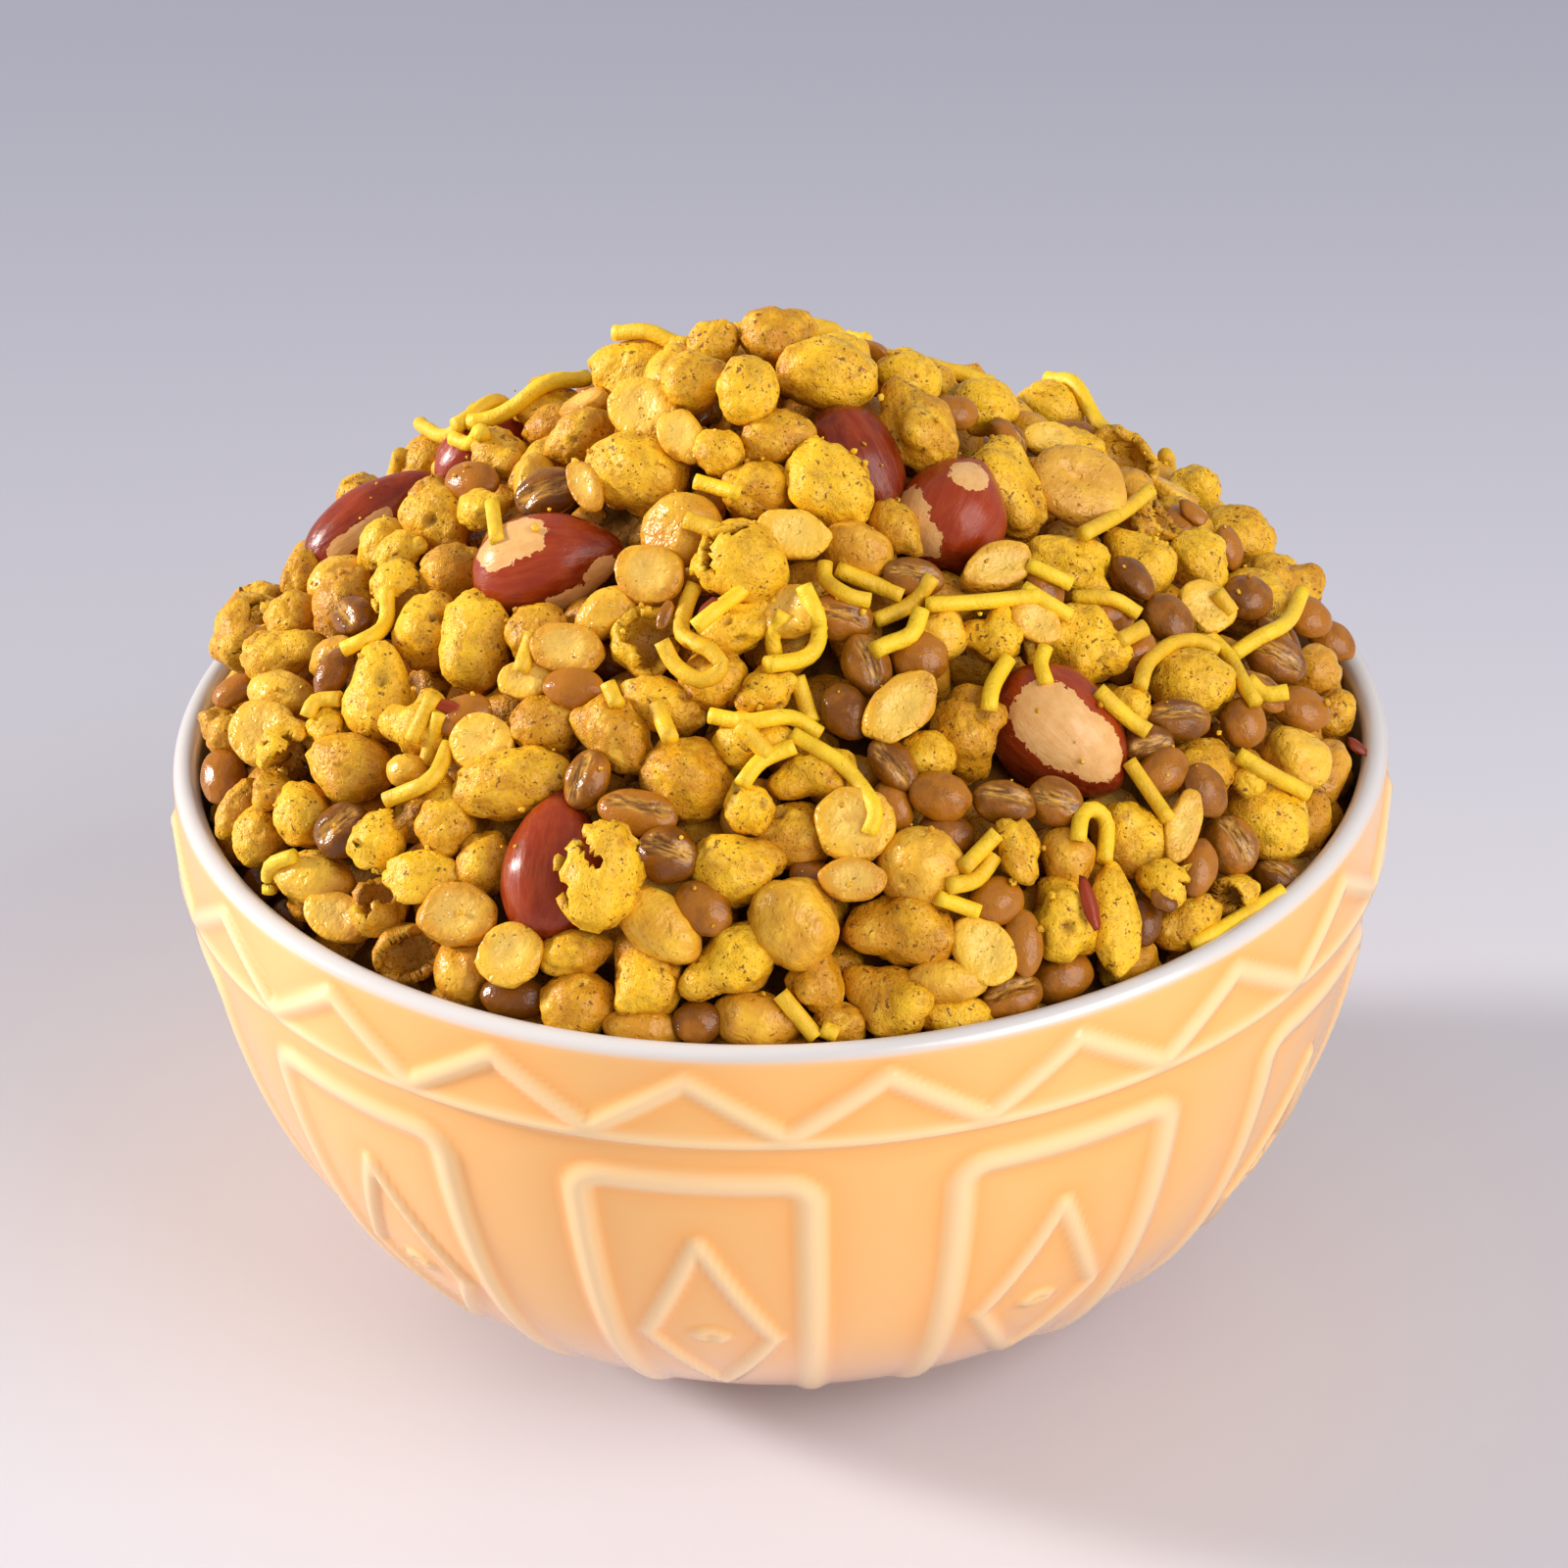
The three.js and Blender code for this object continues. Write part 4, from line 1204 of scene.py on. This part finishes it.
def inside_wall(x, y, reach, heap):
    """A low piece stays inside the wall, a high one may hang over the lip."""
    radius = math.hypot(x, y)
    over_lip = heap_height(min(radius, INSIDE), heap) > LIP_HEIGHT + 2 * reach
    limit = (RIM_RADIUS if over_lip else INSIDE) - 0.3 - reach
    share = limit / radius if radius > limit else 1.0
    return x * share, y * share


class Plan:
    """Every piece of the mix but the noodles: its kind, size, place and axes."""

    def __init__(self, heap):
        self.heap = heap
        self.rng = random.Random(heap.seed)
        self.kinds, self.sizes, self.centres = [], [], []
        self.frames, self.sinks, self.free = [], [], []
        for kind, rows in SEEN.items():
            self.lay_seen(kind, rows)
        self.lay_rows("peanut", BACK_PEANUTS)
        self.seen = len(self.kinds)
        self.line_wall(36, 1.2)
        self.scatter(heap.top_count, 0.0, 1.6, 0.28)
        self.under_start = len(self.kinds)
        self.line_wall(46, -3.0)
        self.scatter(heap.under_count, 6.5, 10.0, -1.0)
        self.settle()

    def bare_spots(self, number):
        """The rubbed places of a peanut, as directions on a ball that becomes the kernel."""
        axes = camera_axes(bpy.context.scene.snack_stage)[1]
        spots = []
        for way, width in BARE_SPOTS.get(number, ()):
            local = self.frames[number].transposed() @ (axes @ Vector(way))
            size = self.sizes[number]
            spots.append((Vector([local[i] / size[i] for i in range(3)]).normalized(), width))
        return spots

    def put(self, kind, size, x, y, frame, sink, free):
        self.kinds.append(kind)
        self.sizes.append(size)
        height = heap_height(math.hypot(x, y), self.heap)
        self.centres.append((x, y, height - sink))
        self.frames.append(frame)
        self.sinks.append(sink)
        self.free.append(free)

    def lay_rows(self, kind, rows):
        for x, y, turn, length, width in rows:
            size = (length, width, width * THICKNESS[kind])
            frame = heap_frame(x, y, turn, self.heap)
            self.put(kind, size, x, y, frame, size[2] * 0.5, 0.05)

    def lay_seen(self, kind, rows):
        """Lays pieces where the photo shows them, each on the heap along its line of sight."""
        axes = camera_axes(bpy.context.scene.snack_stage)[1]
        for across, down, turn, length, width, *lift in rows:
            start, way = line_of_sight(across, down)
            size = (length, width, width * THICKNESS[kind])
            place = self.on_heap(start, way)
            up = heap_up(place.x, place.y, self.heap)
            sink = size[2] * 0.5 - sum(lift)
            place += way * (sink / max(0.45, -way.dot(up)))
            up = (up - way * FACING).normalized()
            sight = axes @ Vector((math.cos(math.radians(turn)), math.sin(math.radians(turn)), 0))
            along = (sight - way * (sight.dot(up) / way.dot(up))).normalized()
            frame = Matrix((along, up.cross(along), up)).transposed()
            x, y = inside_wall(place.x, place.y, width / 2, self.heap)
            level = heap_height(math.hypot(x, y), self.heap)
            self.put(kind, size, x, y, frame, level - place.z, 0.05)

    def on_heap(self, start, way):
        """The first place along a line of sight that lies on the heap, or its nearest."""
        fars = np.arange(SIGHT_NEAR, SIGHT_FAR, SIGHT_STEP)
        places = np.array(start) + np.outer(fars, np.array(way))
        clear = [z - heap_height(math.hypot(x, y), self.heap) for x, y, z in places]
        under = [i for i, gap in enumerate(clear) if gap <= 0]
        return Vector(places[under[0] if under else int(np.argmin(clear))])

    def laid(self):
        """Middles and mean half widths of the pieces so far."""
        spans = [(size[0] + size[1]) / 4 for size in self.sizes]
        return np.array(self.centres), np.array(spans)

    def emptiest(self, reach, depth):
        """Of a few drawn places, the one with most room round it, after that room."""
        laid, spans = self.laid()
        best = (-math.inf, 0.0, 0.0)
        for _ in range(TRIES):
            angle = self.rng.uniform(0, math.tau)
            radius = HEAP_EDGE * math.sqrt(self.rng.random())
            x, y = inside_wall(radius * math.cos(angle), radius * math.sin(angle),
                               reach, self.heap)
            here = (x, y, heap_height(math.hypot(x, y), self.heap) - reach - depth)
            room = float((np.linalg.norm(laid - here, axis=1) - spans).min())
            best = max(best, (room, x, y))
        return best

    def drawn_size(self, kind):
        _, least, most, width = DRAWN[kind]
        length = self.rng.triangular(least, most, least)
        width *= length * self.rng.uniform(0.9, 1.1)
        return (length, width, width * THICKNESS[kind] * self.rng.uniform(0.9, 1.05))

    def drawn_lean(self):
        return Matrix.Rotation(self.rng.gauss(0, 0.5), 3, drawn_way(self.rng))

    def line_wall(self, count, over):
        """Pieces side by side along the wall, their middles a little over the rim."""
        for i in range(count):
            kind = self.rng.choice(("puff", "knob", "gram", "lentil"))
            size = self.drawn_size(kind)
            turn = math.tau * (i + self.rng.uniform(-0.3, 0.3)) / count
            radius = INSIDE - (size[0] + size[1]) / 4 - 0.3
            x, y = radius * math.cos(turn), radius * math.sin(turn)
            frame = self.drawn_lean() @ heap_frame(x, y, math.degrees(turn) + 90, self.heap)
            height = RIM_HEIGHT + over + self.rng.uniform(-1.2, 1.2)
            laid, spans = self.laid()
            if (np.linalg.norm(laid - (x, y, height), axis=1) - spans).min() > 0.5:
                self.put(kind, size, x, y, frame, heap_height(radius, self.heap) - height, 0.5)

    def scatter(self, count, least, most, room_share):
        """Draws pieces and lays each between two depths, where it has room enough."""
        names = list(DRAWN)
        shares = [DRAWN[name][0] for name in names]
        for _ in range(count):
            kind = self.rng.choices(names, shares)[0]
            size = self.drawn_size(kind)
            depth = self.rng.uniform(least, most)
            room, x, y = self.emptiest(size[0] / 2, depth)
            if room < room_share * size[0]:
                continue
            frame = self.drawn_lean() @ heap_frame(x, y, self.rng.uniform(0, 360), self.heap)
            self.put(kind, size, x, y, frame, size[2] * 0.45 + depth, 1.0)

    def settle(self, rounds=60):
        """Pushes pieces apart sideways until hardly any overlap, each kept at its depth."""
        centres = np.array(self.centres)
        axes = np.array([np.array(frame) for frame in self.frames])
        halves = np.array(self.sizes) / 2
        free = np.array(self.free)
        sinks = np.array(self.sinks)
        anchors = centres[:self.seen].copy()
        for _ in range(rounds):
            gaps = centres[:, None] - centres[None]
            spans = np.linalg.norm(gaps, axis=2)
            first, second = np.nonzero(np.triu(spans < NEAR, 1))
            span = np.maximum(spans[first, second], 1e-6)
            way = gaps[first, second] / span[:, None]
            reach = sum(
                1 / np.linalg.norm(np.einsum("nij,ni->nj", axes[side], way) / halves[side],
                                   axis=1)
                for side in (first, second))
            push = np.maximum(0.0, reach * 0.96 - span) * 0.5
            weight = free[first] / (free[first] + free[second])
            np.add.at(centres, first, way * (push * weight)[:, None])
            np.add.at(centres, second, -way * (push * (1 - weight))[:, None])
            centres[:self.seen] += (anchors - centres[:self.seen]) * 0.25
            for i, (x, y, z) in enumerate(centres):
                reach_out = float(halves[i].mean())
                x, y = inside_wall(x, y, reach_out, self.heap)
                level = heap_height(math.hypot(x, y), self.heap) - sinks[i]
                centres[i] = (x, y, min(max(z, level - 2.5), level + 0.4))
        self.centres, self.axes, self.halves = centres, axes, halves

    def tops_at(self, places):
        """Height of the topmost piece over each of some places."""
        flat = np.array(places, dtype=float)
        flat = np.column_stack([flat[:, :2], np.zeros(len(flat))])
        down = self.centres[None] - flat[:, None]
        start = np.einsum("nij,pni->pnj", self.axes, -down) / self.halves
        step = self.axes[:, 2, :] / self.halves
        a = (step * step).sum(1)
        b = (start * step).sum(2)
        c = (start * start).sum(2) - 1
        inside = b * b - a * c
        tops = np.where(inside > 0, (-b + np.sqrt(np.maximum(inside, 0))) / a, -1e3)
        return tops.max(1)


plans = {}


def heap_plan():
    """The plan for the present settings, worked out once."""
    heap = bpy.context.scene.snack_heap
    stage = bpy.context.scene.snack_stage
    key = (heap.seed, heap.crown, heap.slope, heap.top_count, heap.under_count,
           stage.distance, stage.elevation, stage.roll, stage.lens)
    if key not in plans:
        plans[key] = Plan(heap)
    return plans[key]


SHAPES = {
    "puff": puff_shape, "knob": knob_shape, "drop": drop_shape, "shell": shell_shape,
    "flake": flake_shape, "gram": gram_shape, "lentil": lentil_shape, "burst": burst_shape,
    "peanut": peanut_shape, "half": half_shape, "husk": scrap_shape, "skin": scrap_shape,
}


def joined(name, shapes):
    """One mesh of many shapes."""
    whole = blank()
    for shape in shapes:
        loose = mesh_of(shape, "loose")
        whole.from_mesh(loose)
        bpy.data.meshes.remove(loose)
    return mesh_of(whole, name)


def mark(shape, drift, shade):
    """Gives a shape its own stretch of the grain and its own shade."""
    grain = shape.verts.layers.float_vector["grain"]
    tone_and_depth_shade = shape.verts.layers.float["tone_and_depth_shade"]
    for vert in shape.verts:
        vert[grain] = vert.co + drift
        vert[tone_and_depth_shade] = shade


def planned_shapes(kinds, detail):
    """All planned pieces of some kinds, with fewer faces further down, and darker and browner the
    deeper they lie below the heap's surface, as painted shade.
    """
    plan = heap_plan()
    for i, kind in enumerate(plan.kinds):
        if kind not in kinds:
            continue
        rng = random.Random(plan.heap.seed * 1000 + i)
        extra = {"bare": plan.bare_spots(i)} if kind == "peanut" else {}
        faces = detail if i < plan.under_start else detail - 1
        shape = SHAPES[kind](rng, plan.sizes[i], faces, **extra)
        mark(shape, drawn_drift(rng) * 10, rng.random())
        place = Matrix.Translation(plan.centres[i]) @ plan.frames[i].to_4x4()
        bmesh.ops.transform(shape, matrix=place, verts=shape.verts)
        # painted shade: the deeper a point lies below the heap's surface, the further its tint moves
        # to the dark tone
        tone_and_depth_shade = shape.verts.layers.float["tone_and_depth_shade"]
        for vert in shape.verts:
            sunk = heap_height(math.hypot(vert.co.x, vert.co.y), plan.heap) - vert.co.z
            vert[tone_and_depth_shade] += 1.1 * smooth(1.0, 7.5, sunk)
        yield shape


def seen_route(points, plan, radius):
    """A strand over the pieces, through points of the photo."""
    controls = [Vector(point) for point in points]
    controls = [controls[0] * 2 - controls[1], *controls, controls[-1] * 2 - controls[-2]]
    starts, ways = [], []
    for first, second, third, fourth in zip(controls, controls[1:], controls[2:], controls[3:]):
        steps = max(2, round((third - second).length / ROUTE_STEP))
        for i in range(steps + (third is controls[-2])):
            share = i / steps
            spot = (second * 2 + (third - first) * share
                    + (first * 2 - second * 5 + third * 4 - fourth) * share ** 2
                    + (second * 3 - first - third * 3 + fourth) * share ** 3) / 2
            start, way = line_of_sight(*spot)
            starts.append(start)
            ways.append(way)
    rest = []
    for start, way in zip(starts, ways):
        far = (plan.on_heap(start, way) - start).length
        fars = np.arange(far - 12, far + 6, 0.5)
        places = np.array(start) + np.outer(fars, np.array(way))
        floor = [heap_height(math.hypot(x, y), plan.heap) - 3.5 for x, y, _ in places]
        level = np.maximum(plan.tops_at(places) + radius * 0.75, floor)
        under = np.nonzero(places[:, 2] <= level)[0]
        rest.append(fars[under[0]] if len(under) else fars[np.argmin(places[:, 2] - level)])
    depths = eased(rest, -1)
    return [start + way * far for start, way, far in zip(starts, ways, depths)]


def eased(rest, side, rounds=30):
    """Smooths a row of values that may only move to one side of where they rest."""
    row = list(rest)
    for _ in range(rounds):
        for i, value in enumerate(row):
            mean = (row[max(0, i - 1)] + 2 * value + row[min(len(row) - 1, i + 1)]) / 4
            row[i] = max(rest[i], mean - 0.02) if side > 0 else min(rest[i], mean + 0.02)
    return row


def drawn_route(rng, plan, radius):
    """A bent strand that lies over the pieces at the back."""
    angle, far = rng.uniform(0.12, 0.88) * math.pi, rng.uniform(18, 60)
    heading, bend = rng.uniform(0, math.tau), math.radians(rng.gauss(0, 70))
    count = 14
    step = rng.uniform(7, 16) / (count - 1) / math.hypot(1, plan.heap.slope * 0.6)
    place = Vector((far * math.cos(angle), far * math.sin(angle)))
    places = []
    for _ in range(count):
        heading += bend / count
        place = place + Vector((math.cos(heading), math.sin(heading))) * step
        limit = INSIDE - radius - 0.3
        places.append(place * min(1.0, limit / place.length))
    floor = [heap_height(flat.length, plan.heap) - 3.5 for flat in places]
    tops = plan.tops_at(places) + radius * 0.75
    heights = eased(np.maximum(tops, floor), 1)
    return [Vector((*flat, height)) for flat, height in zip(places, heights)]


def strand(route, radius, drift, shade):
    """A ring drawn out along a route, step by step."""
    bm = blank()
    grain = bm.verts.layers.float_vector["grain"]
    tone_and_depth_shade = bm.verts.layers.float["tone_and_depth_shade"]
    ring, last, gone = None, None, 0.0
    for i, place in enumerate(route):
        before, after = route[max(0, i - 1)], route[min(len(route) - 1, i + 1)]
        turned = (after - before).to_track_quat("Z", "Y").to_matrix().to_4x4()
        gone += (place - before).length
        here = Matrix.Translation(place) @ turned
        if ring is None:
            made = bmesh.ops.create_circle(
                bm, cap_ends=True, segments=NOODLE_SIDES, radius=radius, matrix=here)
            verts = made["verts"]
            ring = list({face for vert in verts for face in vert.link_faces})
        else:
            made = bmesh.ops.extrude_face_region(bm, geom=ring, use_keep_orig=(i == 1))
            verts = [item for item in made["geom"] if isinstance(item, bmesh.types.BMVert)]
            faces = [item for item in made["geom"] if isinstance(item, bmesh.types.BMFace)]
            if i > 1:
                bmesh.ops.delete(bm, geom=ring, context="FACES_ONLY")
            ring = faces
            bmesh.ops.transform(bm, matrix=here @ last.inverted(), verts=verts)
        last = here
        for vert in verts:
            local = here.inverted() @ vert.co
            vert[grain] = Vector((gone, local.x, local.y)) + drift
            vert[tone_and_depth_shade] = shade
    bmesh.ops.recalc_face_normals(bm, faces=bm.faces)
    return bm


def noodle_shapes(heap):
    plan = heap_plan()
    radius = heap.noodle_radius / MM
    rng = random.Random(heap.seed + 7)
    routes = [seen_route(points, plan, radius) for points in SEEN_NOODLES]
    routes += [drawn_route(rng, plan, radius) for _ in range(heap.noodle_count)]
    for route in routes:
        yield strand(route, radius * rng.uniform(0.9, 1.05), drawn_drift(rng) * 10, rng.random())


def crumb_shapes(heap):
    """Crumbs of a few faces each, on the pieces and between them."""
    plan = heap_plan()
    rng = random.Random(heap.seed + 11)
    spots = []
    for _ in range(heap.crumb_count):
        angle, far = rng.uniform(0, math.tau), (INSIDE - 2) * math.sqrt(rng.random())
        spots.append((far * math.cos(angle), far * math.sin(angle)))
    for (x, y), top in zip(spots, plan.tops_at(spots)):
        crumb = ball(1)
        size = rng.triangular(0.25, 1.1, 0.35)
        level = max(top, heap_height(math.hypot(x, y), heap) - 7) + size * 0.2
        for vert in crumb.verts:
            vert.co *= size / 2 * rng.uniform(0.7, 1.3)
        mark(crumb, drawn_drift(rng) * 10, rng.random())
        bmesh.ops.translate(crumb, vec=(x, y, level), verts=crumb.verts)
        yield crumb


def core_mesh(heap):
    """The heap below the pieces that show: plain in the bowl, lumpy on top."""
    profile = [(0.0, MIX_FOOT)]
    profile += [inner_wall(share, WALL + MIX_GAP) for share in np.linspace(0.06, 0.80, 8)]
    profile += [(radius, heap_height(radius, heap) - CORE_DEPTH)
                for radius in np.linspace(INSIDE - 0.4, 0.0, 60)]
    bm = spun(profile, math.pi / 2, math.tau, 220, full=True)
    bmesh.ops.remove_doubles(bm, verts=bm.verts, dist=1e-4)
    bmesh.ops.recalc_face_normals(bm, faces=bm.faces)
    for vert in bm.verts:
        radius = math.hypot(vert.co.x, vert.co.y)
        if vert.co.z >= heap_height(radius, heap) - CORE_DEPTH - 0.1:
            near = noise.voronoi(vert.co / 6.5)[0][0]
            lump = 3.2 * (0.45 - near) + 1.2 * noise.noise(vert.co / 2.2)
            vert.co.z += lump * (1 - smooth(INSIDE - 6, INSIDE - 1, radius))
    return mesh_of(bm, "heap_core")


# ---------------------------------------------------------------- operators

def finish_planned(name, kinds, detail, material):
    finish(name, joined(name, planned_shapes(kinds, detail)), material)


class MakeBowl(bpy.types.Operator):
    """The glazed bowl with its raised pattern, on the bowl of the frame."""
    bl_idname = "snack.bowl"
    bl_label = "Bowl"

    def execute(self, context):
        sizes = context.scene.snack_bowl
        finish("glazed_bowl", bowl_mesh(sizes), glaze_material(sizes), "bowl")
        return {"FINISHED"}


class MakeCore(bpy.types.Operator):
    """The depths of the heap, seen only between the pieces and coloured near black as painted shade.
    """
    bl_idname = "snack.core"
    bl_label = "Heap core"

    def execute(self, context):
        heap = context.scene.snack_heap
        finish("heap_core", core_mesh(heap), core_material(), "snack_mix")
        return {"FINISHED"}


class MakePuffs(bpy.types.Operator):
    """Drops of fried gram flour, whole and burst."""
    bl_idname = "snack.puffs"
    bl_label = "Puffs"

    def execute(self, context):
        heap = context.scene.snack_heap
        material = puff_material(heap)
        for name, kinds in (("puffs", {"puff"}), ("knobbly_puffs", {"knob", "drop"}),
                            ("burst_puffs", {"shell", "flake"})):
            finish_planned(name, kinds, 4, material)
        finish("crumbs", joined("crumbs", crumb_shapes(heap)), material)
        return {"FINISHED"}


class MakePeanuts(bpy.types.Operator):
    """Peanuts in their red skin."""
    bl_idname = "snack.peanuts"
    bl_label = "Peanuts"

    def execute(self, context):
        material = peanut_material(context.scene.snack_heap)
        finish_planned("peanuts", {"peanut"}, 5, material)
        finish_planned("skin_scraps", {"skin"}, 4, material)
        return {"FINISHED"}


class MakeGram(bpy.types.Operator):
    """Roasted split gram and the peanut half."""
    bl_idname = "snack.gram"
    bl_label = "Split gram"

    def execute(self, context):
        material = gram_material(context.scene.snack_heap)
        finish_planned("split_gram", {"gram", "half"}, 4, material)
        return {"FINISHED"}


class MakeLentils(bpy.types.Operator):
    """Brown lentils, whole and burst."""
    bl_idname = "snack.lentils"
    bl_label = "Lentils"

    def execute(self, context):
        material = lentil_material(context.scene.snack_heap)
        finish_planned("lentils", {"lentil", "burst", "husk"}, 4, material)
        return {"FINISHED"}


class MakeNoodles(bpy.types.Operator):
    """Thin noodles of gram flour."""
    bl_idname = "snack.noodles"
    bl_label = "Noodles"

    def execute(self, context):
        heap = context.scene.snack_heap
        finish("noodles", joined("noodles", noodle_shapes(heap)), noodle_material(heap))
        return {"FINISHED"}


class MakeStage(bpy.types.Operator):
    """Floor, lights and camera."""
    bl_idname = "snack.stage"
    bl_label = "Stage"

    def execute(self, context):
        stage = context.scene.snack_stage
        self.floor(context, stage)
        self.camera(context, stage)
        self.lights(context, stage)
        return {"FINISHED"}

    def floor(self, context, stage):
        bm = bmesh.new()
        bmesh.ops.create_grid(bm, x_segments=8, y_segments=8, size=3.0)
        mesh = mesh_of(bm, "studio_floor")
        mesh.materials.append(floor_material(stage))
        floor = bpy.data.objects.new("studio_floor", mesh)
        context.scene.collection.objects.link(floor)

    def camera(self, context, stage):
        data = bpy.data.cameras.new("camera")
        data.lens = stage.lens
        data.sensor_width = SENSOR
        data.shift_x = 0.5 - RIM_PIXEL[0] / IMAGE_WIDTH
        data.shift_y = RIM_PIXEL[1] / IMAGE_WIDTH - 0.5
        data.clip_end = 20.0
        camera = bpy.data.objects.new("camera", data)
        place, axes = camera_axes(stage)
        camera.matrix_world = Matrix.Translation(place * MM) @ axes.to_4x4()
        context.scene.collection.objects.link(camera)
        context.scene.camera = camera

    def lights(self, context, stage):
        target = Vector((0.0, 0.0, LIT_HEIGHT))
        for name, power, (way, far, size, colour) in (
            ("key", stage.key_power, KEY_LIGHT),
            ("front_fill", stage.fill_power, FRONT_LIGHT),
        ):
            data = bpy.data.lights.new(name, "AREA")
            data.shape = "SQUARE"
            data.size = size
            data.energy = power
            data.color = colour
            light = bpy.data.objects.new(name, data)
            back = Vector(way).normalized()
            light.matrix_world = (Matrix.Translation(target + back * far)
                                  @ back.to_track_quat("Z", "Y").to_matrix().to_4x4())
            context.scene.collection.objects.link(light)
        world = bpy.data.worlds.new("studio")
        world.use_nodes = True
        sky = world.node_tree.nodes["Background"]
        sky.inputs["Color"].default_value = SKY
        sky.inputs["Strength"].default_value = stage.sky
        context.scene.world = world
        context.scene.view_settings.view_transform = "Standard"


OPERATORS = (MakeStage, MakeBowl, MakeCore, MakePuffs, MakePeanuts, MakeGram, MakeLentils,
             MakeNoodles)


class SnackPanel(bpy.types.Panel):
    """Lists the pieces and the settings they are made from."""
    bl_idname = "VIEW3D_PT_snack_mix"
    bl_label = "Snack mix"
    bl_space_type = "VIEW_3D"
    bl_region_type = "UI"
    bl_category = "Snack mix"

    def draw(self, context):
        for settings in ("snack_bowl", "snack_heap", "snack_stage"):
            box = self.layout.box()
            values = getattr(context.scene, settings)
            for name in values.__annotations__:
                box.prop(values, name)
        for operator in OPERATORS:
            self.layout.operator(operator.bl_idname)


CLASSES = (BowlSettings, HeapSettings, StageSettings, *OPERATORS, SnackPanel)


def register():
    for each in CLASSES:
        bpy.utils.register_class(each)
    bpy.types.Scene.snack_bowl = PointerProperty(type=BowlSettings)
    bpy.types.Scene.snack_heap = PointerProperty(type=HeapSettings)
    bpy.types.Scene.snack_stage = PointerProperty(type=StageSettings)


def unregister():
    for name in ("snack_stage", "snack_heap", "snack_bowl"):
        delattr(bpy.types.Scene, name)
    for each in reversed(CLASSES):
        bpy.utils.unregister_class(each)


def main():
    register()
    bpy.ops.snack.stage()
    bpy.ops.snack.bowl()
    bpy.ops.snack.core()
    bpy.ops.snack.puffs()
    bpy.ops.snack.peanuts()
    bpy.ops.snack.gram()
    bpy.ops.snack.lentils()
    bpy.ops.snack.noodles()


if __name__ == "__main__":
    main()
